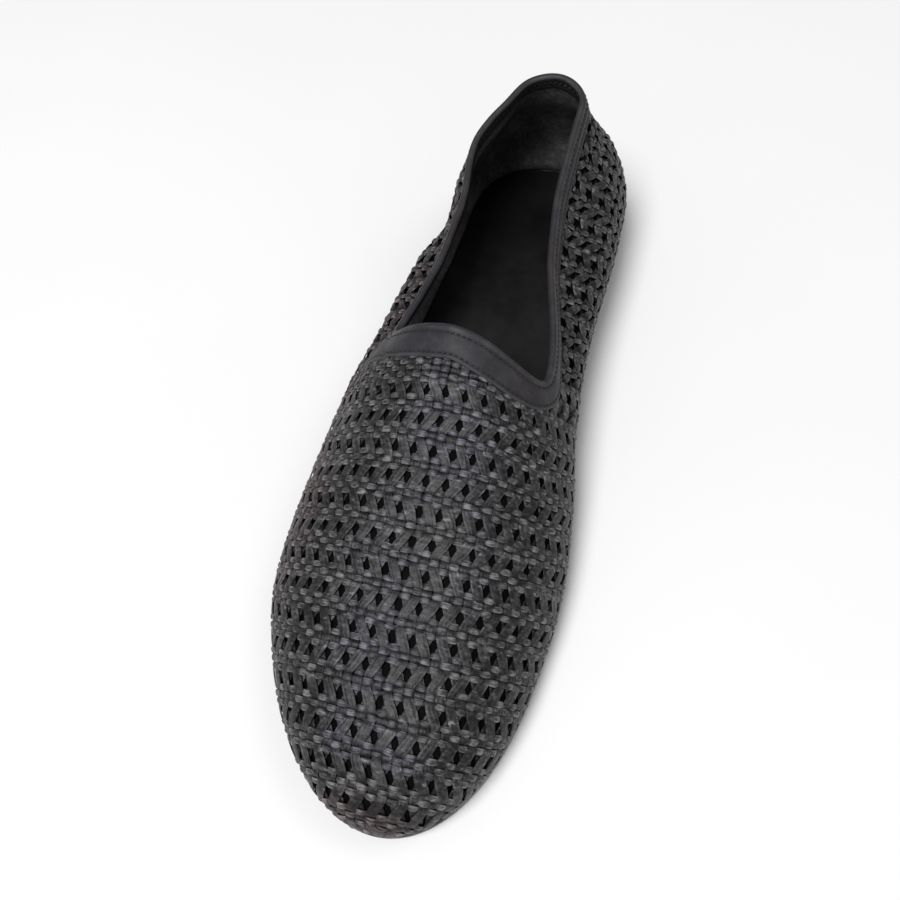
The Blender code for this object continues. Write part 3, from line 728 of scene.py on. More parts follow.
def weft_path(length, face, low, high):
    """Runs of one crosswise strip between two signed distances from the ridge."""
    count = max(int((high - low) / WEFT_SAMPLE), 4)
    away = np.linspace(low, high, count + 1)
    side = np.where(away < 0.0, LATERAL, MEDIAL)
    wander = sway(len(away), WEFT_WANDER, max(len(away) / WANDER_SAMPLES, WANDER_LEAST))
    station = np.full(len(away), float(np.interp(length, ROW_LENGTHS, ROW_STATIONS)))
    for _ in range(SETTLING):
        fallen = length + wander - droop(side, station, np.abs(away))
        station = np.interp(fallen, ROW_LENGTHS, ROW_STATIONS)
    girth = by_side(SHEET, side, station) - np.abs(away)
    lean = float(crossing(row_number(np.array([length])))[0])
    if BEHIND_ROW * FRONT_PERIOD > length > THROAT_END:
        lean = -1.0
    phase = away / PITCH - 0.5 - lean / 4.0
    wave = -face * np.cos(2.0 * math.pi * phase)
    knuckle = np.round(phase + (0.5 if face > 0.0 else 0.0)).astype(int)
    knuckle = knuckle - knuckle.min()
    chance = CHANCE.uniform(-1.0, 1.0, (3, int(knuckle.max()) + 1))
    wide, tall, toned = (values[knuckle] for values in chance)
    crest = np.tanh(WEFT_FLAT * wave) / np.tanh(WEFT_FLAT)
    raised = 0.5 + 0.5 * wave
    knobbly = float(ease(-length / KNOBBLE_SPAN))
    lift = WEFT_BASE + WEFT_LIFT * (1.0 + KNOBBLE * knobbly) * crest + WEFT_TALL * tall * raised
    half = WEFT_HALF * (WEFT_NARROW + WEFT_SWELL * np.sqrt(raised)) * (1.0 + WEFT_UNEVEN * wide)
    kept = (girth > WEFT_BELOW) & (edge_distance(side, station, girth) > HIDDEN_EDGE)
    girth = np.maximum(girth, LOWEST_GIRTH)
    lift = settle(side, station, girth, lift)
    # painted light: each weft's crests painted lighter as sheen over rubbing, the parts that dive under
    # darker as painted shade
    crown = np.clip(0.5 + CREST_RISE * wave, 0.0, 1.0) ** (CREST_POWER + knobbly)
    worn_and_lit = WEFT_WEAR_AND_LIGHT + (CREST_WEAR_AND_SHEEN + CREST_UNEVEN * tall) * (1.0 - CREST_KNOBBLE * knobbly) * crown
    values = (side, station, girth, lift, half, worn_and_lit, 0.5 + 0.5 * toned)
    return [[each[a:b] for each in values] for a, b in split_runs(kept, SHORTEST_WEFT)]


def weft_paths():
    """Crosswise strips of the toe, of the rest of the vamp, and of the quarters."""
    toe = []
    vamp = []
    quarters = []
    reach = max(FULL[LATERAL].max(), FULL[MEDIAL].max())
    for row in range(FRONT_ROWS):
        for rise, face in FRONT_WEFTS:
            length = row * FRONT_PERIOD + rise
            if length < ROW_LENGTHS[-1] - TIP_CLEAR:
                (vamp if row < TOE_ROW else toe).extend(weft_path(length, face, -reach, reach))
    for rise in TIP_WEFTS:
        toe += weft_path((FRONT_ROWS - 1) * FRONT_PERIOD + rise, 1.0, -reach, reach)
    for length, face in SHARED_WEFTS:
        vamp += weft_path(length, face, -reach, reach)
    for length, face in THROAT_WEFTS:
        if length < SHARED_WEFTS[0][0] - SHARED_CLEAR:
            vamp += weft_path(length, face, -NOTCH_AWAY[LATERAL], NOTCH_AWAY[MEDIAL])
    for row in range(1, BACK_ROWS + 1):
        for rise, face in BACK_WEFTS:
            length = rise - row * BACK_PERIOD
            quarters += weft_path(length, face, -reach, -NOTCH_AWAY[LATERAL] * QUARTER_OVERLAP)
            quarters += weft_path(length, face, NOTCH_AWAY[MEDIAL] * QUARTER_OVERLAP, reach)
    return toe, vamp, quarters


def tube_faces(base, count, width):
    """Faces of a tube of rings with closed ends."""
    grid = base + np.arange(count * width).reshape(count, width)
    after = np.roll(grid, -1, axis=1)
    quads = np.stack([grid[:-1], after[:-1], after[1:], grid[1:]], axis=2).reshape(-1, 4)
    return quads.tolist() + [grid[0, ::-1].tolist(), grid[-1].tolist()]


def sweep(paths, profile):
    """Solid strips along paths on the upper, with each point's rubbing and painted light, and its tone."""
    side, station, girth, lift, half, worn_and_lit, tones = (np.concatenate(values) for values in zip(*paths))
    point, normal = skin(side, station, girth)
    across_share, up_share = np.array(profile).T
    # painted light across each strip: the shoulders brightest as painted highlight, the top a little less,
    # the cut edges lower and the underside nought as painted shade
    facing = np.zeros(len(profile))
    for least, share in reversed(FACE_WEAR_AND_LIGHT):
        facing[up_share > least] = share
    away = by_side(FULL, side, station) - girth
    outside = np.where(side < 0.0, ease((away - BLUSH_OUTSIDE) / BLUSH_SPAN), 0.0)
    toe = ease((station - BLUSH_TOE) / BLUSH_SPAN)
    blush = np.maximum(outside, toe) - (1.0 - ease(away / BLUSH_AWAY)) * (1.0 - toe)
    width = len(profile)
    vertices = []
    faces = []
    start = 0
    for path in paths:
        count = len(path[0])
        part = slice(start, start + count)
        here = point[part] + normal[part] * (WEAVE_DEPTH + lift[part])[:, None]
        tangent = unit(np.gradient(here, axis=0))
        outward = square_to(normal[part], tangent)
        across = np.cross(outward, tangent)
        ring = here[:, None, :] + across[:, None, :] * (half[part, None] * across_share)[:, :, None]
        ring = ring + outward[:, None, :] * up_share[None, :, None]
        vertices.append(ring.reshape(-1, 3))
        faces += tube_faces(start * width, count, width)
        start += count
    values = {
        "wear": (worn_and_lit[:, None] * facing[None, :]).ravel(),
        "tone": np.repeat(tones, width),
        "blush": np.repeat(blush, width),
        "across": np.tile(across_share, len(side)),
    }
    return np.vstack(vertices), faces, values


def make_piece(name, vertices, faces, values, materials, node, sharp=None):
    """Adds a mesh to the shoe in place of a node."""
    mesh = bpy.data.meshes.new(name)
    moved = (np.asarray(vertices) - CENTRE) * METRES
    mesh.from_pydata(moved.tolist(), [], faces)
    mesh.validate()
    mesh.update()
    mesh.shade_smooth()
    if sharp is not None:
        mesh.set_sharp_from_angle(angle=math.radians(sharp))
    for key, numbers in values.items():
        layer = mesh.attributes.new(key, "FLOAT", "POINT")
        layer.data.foreach_set("value", np.asarray(numbers, np.float32))
    for material in materials:
        mesh.materials.append(material)
    piece = bpy.data.objects.new(name, mesh)
    bpy.context.scene.collection.objects.link(piece)
    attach(piece, "root")
    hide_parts(node)
    return piece


def lining_column(side, line):
    """Column of a line that is counted up from the sole's edge on its own side."""
    return line if side == LATERAL else LINING_LAST - line


def lining_quarters():
    """Rows of the lining behind the throat: side, station and girth by column."""
    heel = HEEL_ROUND * (1.0 - np.cos(np.linspace(0.0, math.pi / 2.0, LINING_HEEL_ROWS)))
    waist = np.linspace(HEEL_ROUND, THROAT_STATION, LINING_WAIST_ROWS)[1:-1]
    rows = []
    for part in np.concatenate([heel, waist]) / THROAT_STATION:
        row = {}
        for side in SIDES:
            station = part * NOTCH_STATION[side]
            top = float(at_station(TOP[side], station)) - LINING_UNDER
            for line, share in enumerate(LINING_SHARES):
                row[lining_column(side, line)] = (side, station, share * top)
        rows.append(row)
    return rows


def lining_vamp():
    """Rows of the lining from the throat to the toe, going on over the ridge."""
    front = LAST_LENGTH - LINING_TIP
    rows = []
    for part in np.sin(np.linspace(0.0, math.pi / 2.0, LINING_VAMP_ROWS)):
        row = {}
        for side in SIDES:
            station = NOTCH_STATION[side] + (front - NOTCH_STATION[side]) * part
            full = float(at_station(FULL[side], station))
            notch = full * NOTCH_GIRTH[side] / NOTCH_FULL[side]
            for line, share in enumerate(LINING_SHARES):
                row[lining_column(side, line)] = (side, station, share * notch)
            for line, share in enumerate(LINING_SHARES[-2::-1], LINING_LINES):
                edge = float(vamp_edge(side, share * NOTCH_AWAY[side])) + LINING_UNDER
                here = edge + (front - edge) * part
                ridge = float(at_station(FULL[side], here))
                row.setdefault(lining_column(side, line), (side, here, ridge - share * (full - notch)))
        rows.append(row)
    return rows


def lining_skin():
    """Places of the lining and the faces between them. The sides meet at the heel's back and the tip."""
    rows = lining_quarters() + lining_vamp()
    places = []
    index = {}
    for number, row in enumerate(rows):
        for column, spot in row.items():
            opposite = (number, LINING_LAST - column)
            if number == 0 and opposite in index:
                index[number, column] = index[opposite]
            else:
                index[number, column] = len(places)
                places.append(spot)
    faces = []
    last_row = len(rows) - 1
    for r in range(last_row):
        for c in range(LINING_LAST):
            corners = ((r, c), (r + 1, c), (r + 1, c + 1), (r, c + 1))
            if all(corner in index for corner in corners):
                faces.append([index[corner] for corner in corners])
    tip = len(places)
    for c in range(LINING_LAST):
        faces.append([index[last_row, c], tip, index[last_row, c + 1]])
    return np.array(places).T, faces


def closed_shell(outer, inner, skin_faces):
    """Body between two skins that have the same faces."""
    count = len(outer)
    faces = [list(face) for face in skin_faces]
    faces += [[vertex + count for vertex in reversed(face)] for face in skin_faces]
    edges = set()
    for face in skin_faces:
        edges.update(zip(face, face[1:] + face[:1]))
    for a, b in sorted(edges):
        if (b, a) not in edges:
            faces.append([b, a, a + count, b + count])
    return np.vstack([outer, inner]), faces


def lining_shell():
    """Smooth inner leather behind the weave, open at the opening and underneath."""
    (side, station, girth), skin_faces = lining_skin()
    point, normal = skin(side, station, girth)
    thin = 1.0 - ease((edge_distance(side, station, girth) - LINING_TAPER) / LINING_TAPER)
    tip = wall_point(MEDIAL, LAST_LENGTH, 0.0)
    layers = []
    for depth, rise in ((LINING_OUTER, LINING_RISE_OUTER), (LINING_INNER, LINING_RISE_INNER)):
        layer = point + normal * (depth + rise * thin)[:, None]
        layers.append(np.vstack([layer, tip - np.array([0.0, depth, 0.0])]))
    # nought on the layer that faces the weave, which gets the painted near-black shade, and one on the inner
    # layer
    inside = np.repeat([0.0, 1.0], len(layers[0]))
    return *closed_shell(*layers, skin_faces), {"inside": inside}


def topline_path():
    """Closed path of the opening's edge as side, station and girth, with the notch rounded."""
    path = []
    for side in SIDES:
        stations = np.linspace(0.0, NOTCH_STATION[side], QUARTER_SAMPLES)
        quarter = np.stack([stations, at_station(TOP[side], stations)], axis=1)
        away = np.linspace(NOTCH_AWAY[side], 0.0, VAMP_SAMPLES)
        edge = vamp_edge(side, away)
        vamp = np.stack([edge, at_station(FULL[side], edge) - away], axis=1)
        line = np.vstack([quarter, vamp[1:]])
        lengths = travelled(line)
        fine = np.linspace(0.0, lengths[-1], EDGE_SAMPLES)
        line = np.stack([np.interp(fine, lengths, line[:, k]) for k in (0, 1)], axis=1)
        corner = int(np.argmin(np.hypot(line[:, 0] - NOTCH_STATION[side], line[:, 1] - NOTCH_GIRTH[side])))
        reach = int(NOTCH_ROUND[side] / (fine[1] - fine[0]))
        soft = line.copy()
        for _ in range(NOTCH_ROUNDS):
            before = soft.copy()
            for i in range(corner - 4 * reach, min(corner + 4 * reach, len(line) - reach - 1)):
                soft[i] = before[i - reach:i + reach + 1].mean(axis=0)
        path.append((np.full(len(fine), side), soft[:, 0], soft[:, 1]))
    lateral, medial = path
    return [np.concatenate([a, b[::-1][1:-1]]) for a, b in zip(lateral, medial)]


def opening_edge():
    """The opening's edge with the directions that set distances off from it over the wall."""
    side, station, girth = topline_path()
    point, normal, along, upward = surface(side, station, girth)
    tangent = np.roll(point, -2, axis=0) - np.roll(point, 2, axis=0)
    return {
        "side": side, "station": station, "girth": girth, "along": along, "upward": upward,
        "away": np.cross(square_to(tangent, normal), normal), "width": binding_width(side, station, girth),
    }


EDGE = opening_edge()


def off_edge(share, extra, height):
    """Points over the wall, at a share of the binding's width and an extra distance from the edge."""
    distance = (share * EDGE["width"] + extra)[:, None]
    step = EDGE["away"] * np.maximum(distance, 0.0)
    along = EDGE["along"]
    upward = EDGE["upward"]
    along_square = np.sum(along * along, axis=1)
    both = np.sum(along * upward, axis=1)
    upward_square = np.sum(upward * upward, axis=1)
    step_along = np.sum(step * along, axis=1)
    step_upward = np.sum(step * upward, axis=1)
    bottom = along_square * upward_square - both * both
    station = EDGE["station"] + (step_along * upward_square - step_upward * both) / bottom
    girth = EDGE["girth"] + (step_upward * along_square - step_along * both) / bottom
    point, normal = skin(EDGE["side"], station, girth)
    point = point + normal * height + EDGE["away"] * np.minimum(distance, 0.0)
    for _ in range(EDGE_ROUNDS):
        around = [np.roll(point, shift, axis=0) for shift in range(-EDGE_SOFT, EDGE_SOFT + 1)]
        point = np.mean(around, axis=0)
    return point, normal


def binding_profile():
    """Share of the width and extra distance from the edge, height over the wall, and paleness: rubbing with
    painted highlight lines along the edges and the fold's inner edge, and painted shade on the rest of the
    fold.
    """
    rows = [
        (1.0, 0.0, 0.02, 0.2), (1.0, 0.05, 0.38, 0.8), (1.0, -0.12, 0.62, 1.0), (1.0, -0.5, 0.76, 0.7),
        (1.0, -1.0, 0.80, 0.2), (1.0, -1.3, 0.72, 0.0), (1.0, -1.65, 0.62, 0.0), (1.0, -2.0, 0.74, 0.0),
        (1.0, -2.6, 0.84, 0.2), (0.62, 0.0, 0.90, 0.3), (0.42, 0.0, 0.90, 0.3), (0.0, 2.8, 0.86, 0.2),
        (0.0, 2.3, 0.74, 0.0), (0.0, 2.0, 0.68, 0.0), (0.0, 1.7, 0.75, 0.0), (0.0, 1.2, 0.83, 0.4),
        (0.0, 0.5, 0.84, 0.7),
    ]
    for angle in FOLD_ANGLES:
        turn = math.radians(angle)
        height = FOLD_MIDDLE + FOLD_HALF * math.sin(turn)
        # a pale line rubbed and painted as a highlight on the fold's inner edge; the rest of the fold stays
        # dark as painted shade
        rubbed = FOLD_RUBBED_AND_LIT[0] < angle < FOLD_RUBBED_AND_LIT[1]
        rows.append((0.0, -FOLD_REACH * math.cos(turn), height, 1.0 if rubbed else 0.15))
    rows += [
        (0.0, 0.6, -1.79, 0.2), (0.0, 1.7, -1.77, 0.0), (0.0, 2.2, -1.68, 0.0), (0.0, 2.7, -1.77, 0.0),
        (0.0, 4.4, -1.84, 0.2), (0.0, 6.0, -1.84, 0.3), (0.0, 6.4, -1.72, 0.6), (0.0, 6.5, -1.42, 0.2),
        (0.0, 3.6, -1.36, 0.0), (0.0, 0.3, -1.30, 0.0), (0.0, -0.3, -0.6, 0.0), (0.0, 0.3, 0.0, 0.0),
        (0.5, 0.0, 0.0, 0.0),
    ]
    return rows


def binding_strip():
    """Leather strip folded over the opening's edge."""
    rings = []
    wear = []
    for share, extra, height, worn_and_lit in binding_profile():
        point, _ = off_edge(share, extra, height)
        rings.append(point[::2])
        wear.append(np.full(len(point[::2]), worn_and_lit))
    rings = np.stack(rings, axis=1)
    wear = np.stack(wear, axis=1)
    count, width = rings.shape[:2]
    grid = np.arange(count * width).reshape(count, width)
    next_ring = np.roll(grid, -1, axis=0)
    quads = np.stack([grid, next_ring, np.roll(next_ring, -1, axis=1), np.roll(grid, -1, axis=1)], axis=2)
    return rings.reshape(-1, 3), quads.reshape(-1, 4).tolist(), wear.ravel()


def tab_points(share, extra, height):
    """Points along the tab, at a share of its width and an extra distance from its back edge."""
    reach = NOTCH_AWAY[LATERAL]
    away = np.linspace(TAB_START * reach, reach + TAB_REACH, TAB_STATIONS)
    left = np.maximum(TAB_ROUND - (away[-1] - away), 0.0)
    inset = TAB_ROUND - np.sqrt(TAB_ROUND**2 - left**2)
    edge = THROAT_STATION + (NOTCH_STATION[LATERAL] - THROAT_STATION) * (away / reach) ** THROAT_POWER
    flare = ease((away - TAB_FLARE * reach) / TAB_REACH)
    wide = BIND_VAMP + (TAB_BACK + TAB_FORWARD) * flare
    station = edge - TAB_BACK * flare + inset + share * (wide - 2.0 * inset) + extra
    side = np.full(TAB_STATIONS, LATERAL)
    point, normal = skin(side, station, by_side(FULL, side, station) - away)
    sunk = TAB_SINK * (1.0 - ease((away / reach - TAB_START) / (1.0 - TAB_START)))
    return point + normal * (height - sunk)[:, None], normal


def binding_tab():
    """End of the vamp's strip, carried on over the outer side past the notch."""
    # the last column is paleness: rubbing with painted highlight lines along the tab's edges
    profile = (
        (1.0, 0.0, 0.0, 0.2), (1.0, 0.05, 0.7, 0.8), (1.0, -0.15, 0.98, 1.0), (1.0, -0.6, 1.12, 0.5),
        (1.0, -1.2, 1.14, 0.2), (1.0, -1.65, 1.05, 0.0), (1.0, -2.1, 1.12, 0.1), (0.6, 0.0, 1.16, 0.3),
        (0.4, 0.0, 1.16, 0.3), (0.0, 2.5, 1.12, 0.1), (0.0, 2.0, 1.05, 0.0), (0.0, 1.5, 1.14, 0.1),
        (0.0, 0.6, 1.12, 0.5), (0.0, 0.15, 0.98, 1.0), (0.0, -0.05, 0.7, 0.8), (0.0, 0.0, 0.0, 0.2),
    )
    rings = np.stack([tab_points(share, extra, height)[0] for share, extra, height, _ in profile], axis=1)
    count, width = rings.shape[:2]
    grid = np.arange(count * width).reshape(count, width)
    after = np.roll(grid, -1, axis=1)
    faces = np.stack([grid[:-1], grid[1:], after[1:], after[:-1]], axis=2).reshape(-1, 4).tolist()
    faces.append(grid[0].tolist())
    faces.append(grid[-1, ::-1].tolist())
    return rings.reshape(-1, 3), faces, np.tile([row[3] for row in profile], count)


def edge_stitches(share, extra, height, inward):
    """Stitches along the whole of the opening's edge."""
    point, normal = off_edge(share, extra, height)
    normal = -normal if inward else normal
    return stitch_row(np.vstack([point, point[:1]]), np.vstack([normal, normal[:1]]))


def stitch_row(line, line_normal):
    """Short thread stitches along a path."""
    lengths = travelled(line)
    count = int(round(lengths[-1] / STITCH_PITCH))
    pitch = lengths[-1] / count
    turns = 2.0 * math.pi * np.arange(STITCH_SIDES)[None, :, None] / STITCH_SIDES
    radii = STITCH_RADIUS * STITCH["radius"][:, None, None]
    rings = len(STITCH_ROWS)
    vertices = []
    faces = []
    for number in range(count):
        places = np.mod(number * pitch + STITCH_LENGTH * STITCH["share"], lengths[-1])
        here = np.stack([np.interp(places, lengths, line[:, k]) for k in range(3)], axis=1)
        up = np.stack([np.interp(places, lengths, line_normal[:, k]) for k in range(3)], axis=1)
        tangent = unit(np.gradient(here, axis=0))
        up = square_to(up, tangent)
        across = np.cross(up, tangent)
        here = here + up * STITCH["rise"][:, None]
        offset = across[:, None, :] * np.cos(turns) + up[:, None, :] * np.sin(turns)
        vertices.append((here[:, None, :] + offset * radii).reshape(-1, 3))
        faces += tube_faces(number * rings * STITCH_SIDES, rings, STITCH_SIDES)
    return np.vstack(vertices), faces


def join(parts):
    """One mesh of several."""
    vertices = []
    faces = []
    base = 0
    for points, polygons in parts:
        vertices.append(points)
        faces += [[base + v for v in face] for face in polygons]
        base += len(points)
    return np.vstack(vertices), faces


def feather(station, side, out):
    """Sole's edge in plan, set out or in by a distance."""
    station = np.asarray(station, float)
    ahead = np.minimum(station + STEP, LAST_LENGTH)
    behind = np.maximum(station - STEP, 0.0)
    point = wall_point(side, station, 0.0)
    along = wall_point(side, ahead, 0.0) - wall_point(side, behind, 0.0)
    along[station <= 0.0] = np.array([side, 0.0, 0.0])
    along[station >= LAST_LENGTH] = np.array([-side, 0.0, 0.0])
    along = along / np.linalg.norm(along[:, :2], axis=1)[:, None]
    outward = np.stack([-along[:, 1] * side, along[:, 0] * side, np.zeros(len(station))], axis=1)
    moved = point + outward * np.asarray(out, float).reshape(-1, 1)
    return moved[:, :2]


def base_height(y):
    """Height of the sole's top over the floor."""
    return section("base", np.clip(LAST_LENGTH / 2.0 - y, 0.0, LAST_LENGTH))


def overhang(stations):
    """Distance that the sole stands out past the upper."""
    return smooth(OVERHANG["station"], OVERHANG["overhang"], stations)


def outline_stations():
    """Stations along the sole, closer together where the heel and toe are round."""
    heel = HEEL_ROUND * (1.0 - np.cos(np.linspace(0.0, math.pi / 2.0, HEEL_ROWS)))
    waist = np.linspace(HEEL_ROUND, TOE_START, WAIST_ROWS)[1:-1]
    toe = TOE_START + (LAST_LENGTH - TOE_START) * np.sin(np.linspace(0.0, math.pi / 2.0, TOE_ROWS))
    return np.concatenate([heel, waist, toe])


def outline(stations, out):
    """Closed outline from the heel's back by the outer side to the toe and back by the inner side."""
    lateral = feather(stations, LATERAL, out)
    medial = feather(stations, MEDIAL, out)
    for i in (0, -1):
        middle = (lateral[i] + medial[i]) / 2.0
        lateral[i] = middle
    return np.vstack([lateral, medial[-2:0:-1]])


def loft(loops):
    """Faces from each loop of points down to the next one."""
    faces = []
    for high, low in zip(loops, loops[1:]):
        for i in range(len(high)):
            k = (i + 1) % len(high)
            faces.append([high[i], low[i], low[k], high[k]])
    return faces


def cap(vertices, loop, count, height, dish):
    """Faces across a loop, with points between its two sides that are added to the vertices."""
    shares = np.linspace(0.0, 1.0, PLATE_LINES)
    grid = np.zeros((count, PLATE_LINES), int)
    for i in range(count):
        left = np.array(vertices[loop[i]])
        right = np.array(vertices[loop[-i]])
        for j, share in enumerate(shares):
            if j == 0 or i in (0, count - 1):
                grid[i, j] = loop[i]
            elif j == PLATE_LINES - 1:
                grid[i, j] = loop[-i]
            else:
                x, y, _ = left + (right - left) * share
                sink = dish * (1.0 - (2.0 * share - 1.0) ** 2)
                grid[i, j] = len(vertices)
                vertices.append((x, y, float(base_height(y)) + height - sink))
    faces = []
    for i in range(count - 1):
        for j in range(PLATE_LINES - 1):
            face = [grid[i, j], grid[i + 1, j], grid[i + 1, j + 1], grid[i, j + 1]]
            face = [int(v) for k, v in enumerate(face) if v not in face[:k]]
            if len(face) > 2:
                faces.append(face)
    return faces


def plate(stations, rings, dish=0.0):
    """Body of the last's outline from rings of overhang and height, top ring first, with capped faces."""
    count = len(stations)
    vertices = []
    loops = []
    for out, height in rings:
        line = outline(stations, out)
        heights = base_height(line[:, 1]) + height
        loops.append(list(range(len(vertices), len(vertices) + len(line))))
        vertices += [(x, y, z) for (x, y), z in zip(line, heights)]
    top = cap(vertices, loops[0], count, rings[0][1], dish)
    bottom = cap(vertices, loops[-1], count, rings[-1][1], 0.0)
    return np.array(vertices), loft(loops) + top + [face[::-1] for face in bottom]


def sole_plate():
    """Outsole with a rounded, dressed edge."""
    stations = outline_stations()
    out = overhang(stations)
    rings = (
        (out - 0.75, -0.06), (out - 0.35, -0.12), (out - 0.08, -0.42), (out, -0.9), (out + 0.05, -1.6),
        (out + 0.05, -2.9), (out, -3.7), (out - 0.12, -4.3), (out - 0.4, -4.7),
        (out - 0.8, -GAP - SOLE_THICK),
    )
    return plate(stations, rings)


def insole_plate():
    """Insole with a soft edge, lying inside the lining."""
    stations = outline_stations()
    out = np.full(len(stations), -INSOLE_TUCK)
    rings = (
        (out - 1.4, INSOLE_THICK), (out - 0.6, INSOLE_THICK - 0.12), (out - 0.1, INSOLE_THICK - 0.5),
        (out, 0.0),
    )
    return plate(stations, rings, INSOLE_DISH)


def heel_block():
    """Low heel with a rubber top piece under a leather lift."""
    front = np.linspace(HEEL_ROUND, HEEL_FRONT, HEEL_SIDE_ROWS)[1:]
    stations = np.concatenate([outline_stations()[:HEEL_ROWS], front])
    out = overhang(stations)
    top = float(base_height(LAST_LENGTH / 2.0)) - GAP - SOLE_THICK
    rings = (
        (0.7, top), (0.45, top - 0.25), (0.5, top - 1.0), (0.85, 4.6), (0.95, 4.35), (1.15, 4.2),
        (0.98, 4.05), (0.95, 3.8), (HEEL_TAPER, 0.9), (HEEL_TAPER + 0.15, 0.4), (HEEL_TAPER + 0.7, 0.0),
    )
    vertices = []
    loops = []
    for inset, height in rings:
        lateral = feather(stations, LATERAL, out - inset)
        medial = feather(stations, MEDIAL, out - inset)
        ring = [tuple(point) for point in np.vstack([medial[::-1], lateral[1:]])]
        for share in np.linspace(0.0, 1.0, HEEL_FRONT_ROWS)[1:-1]:
            x, y = lateral[-1] + (medial[-1] - lateral[-1]) * share
            ring.append((x, y + HEEL_HOLLOW * math.sin(math.pi * share) + HEEL_DRAW * inset))
        loops.append(list(range(len(vertices), len(vertices) + len(ring))))
        vertices += [(x, y, height) for x, y in ring]
    return np.array(vertices), loft(loops) + [loops[0], loops[-1][::-1]]


# materials
class Shade:
    """A material's node tree with short calls for the nodes that the leathers share."""

    def __init__(self, name):
        self.material = bpy.data.materials.new(name)
        self.material.use_nodes = True
        self.tree = self.material.node_tree
        self.shader = self.tree.nodes["Principled BSDF"]
        self.where = self.tree.nodes.new("ShaderNodeTexCoord").outputs["Object"]

    def feed(self, socket, value):
        """Puts a number or another node's output on a socket."""
        if isinstance(value, (int, float)):
            socket.default_value = value
        else:
            self.tree.links.new(value, socket)

    def node(self, kind, inputs):
        """A new node with its inputs fed."""
        node = self.tree.nodes.new("ShaderNode" + kind)
        for key, value in inputs.items():
            self.feed(node.inputs[key], value)
        return node

    def stretched(self, share):
        """Place on the shoe, drawn out along the wefts."""
        node = self.node("VectorMath", {0: self.where})
        node.operation = "MULTIPLY"
        node.inputs[1].default_value = (share, 1.0, 1.0)
        return node.outputs["Vector"]

    def noise(self, scale, detail=4.0, roughness=0.55, where=None):
        """Noise whose scale is its number of spots to the metre."""
        where = self.where if where is None else where
        inputs = {"Scale": scale, "Detail": detail, "Roughness": roughness, "Vector": where}
        return self.node("TexNoise", inputs).outputs["Fac"]

    def cells(self, scale):
        """Distance from the middle of small cells."""
        return self.node("TexVoronoi", {"Scale": scale, "Vector": self.where}).outputs["Distance"]

    def attribute(self, name):
        """A value that the mesh carries at its points."""
        node = self.node("Attribute", {})
        node.attribute_name = name
        return node.outputs["Fac"]

    def ramp(self, factor, stops):
        """Colours by position, from the first stop to the last."""
        node = self.node("ValToRGB", {"Fac": factor})
        while len(node.color_ramp.elements) < len(stops):
            node.color_ramp.elements.new(0.5)
        for element, (position, colour) in zip(node.color_ramp.elements, stops):
            element.position = position
            element.color = (*colour, 1.0)
        return node.outputs["Color"]

    def math(self, operation, first, second):
        """Two values worked together."""
        node = self.node("Math", {0: first, 1: second})
        node.operation = operation
        return node.outputs["Value"]

    def sum(self, first, *others):
        """All the values added up."""
        for other in others:
            first = self.math("ADD", first, other)
        return first

    def range(self, factor, low, high, to_low, to_high):
        """A value carried over from one range to another."""
        inputs = {"Value": factor, "From Min": low, "From Max": high, "To Min": to_low, "To Max": to_high}
        return self.node("MapRange", inputs).outputs["Result"]

    def spread(self, noise, to_low, to_high):
        """The usual reach of a noise carried over to a range."""
        return self.range(noise, NOISE_LOW, NOISE_HIGH, to_low, to_high)

    def swing(self, noise, reach):
        """A noise carried over to a reach on both sides of nought."""
        return self.spread(noise, -reach, reach)

    def blend(self, mode, factor, first, second):
        """Two colours blended."""
        node = self.node("Mix", {})
        node.data_type = "RGBA"
        node.blend_type = mode
        for key, value in (("Factor", factor), (6, first), (7, second)):
            self.feed(node.inputs[key], value)
        return node.outputs[2]

    def finish(self, colour, roughness, bumps, specular=0.5):
        """Feeds the shader. Bumps are heights with a strength and a distance, each over the one before."""
        normal = None
        for height, strength, distance in bumps:
            inputs = {"Strength": strength, "Distance": distance, "Height": height}
            if normal is not None:
                inputs["Normal"] = normal
            normal = self.node("Bump", inputs).outputs["Normal"]
        inputs = {
            "Base Color": colour, "Roughness": roughness, "Normal": normal, "Specular IOR Level": specular,
        }
        for key, value in inputs.items():
            self.feed(self.shader.inputs[key], value)
        return self.material


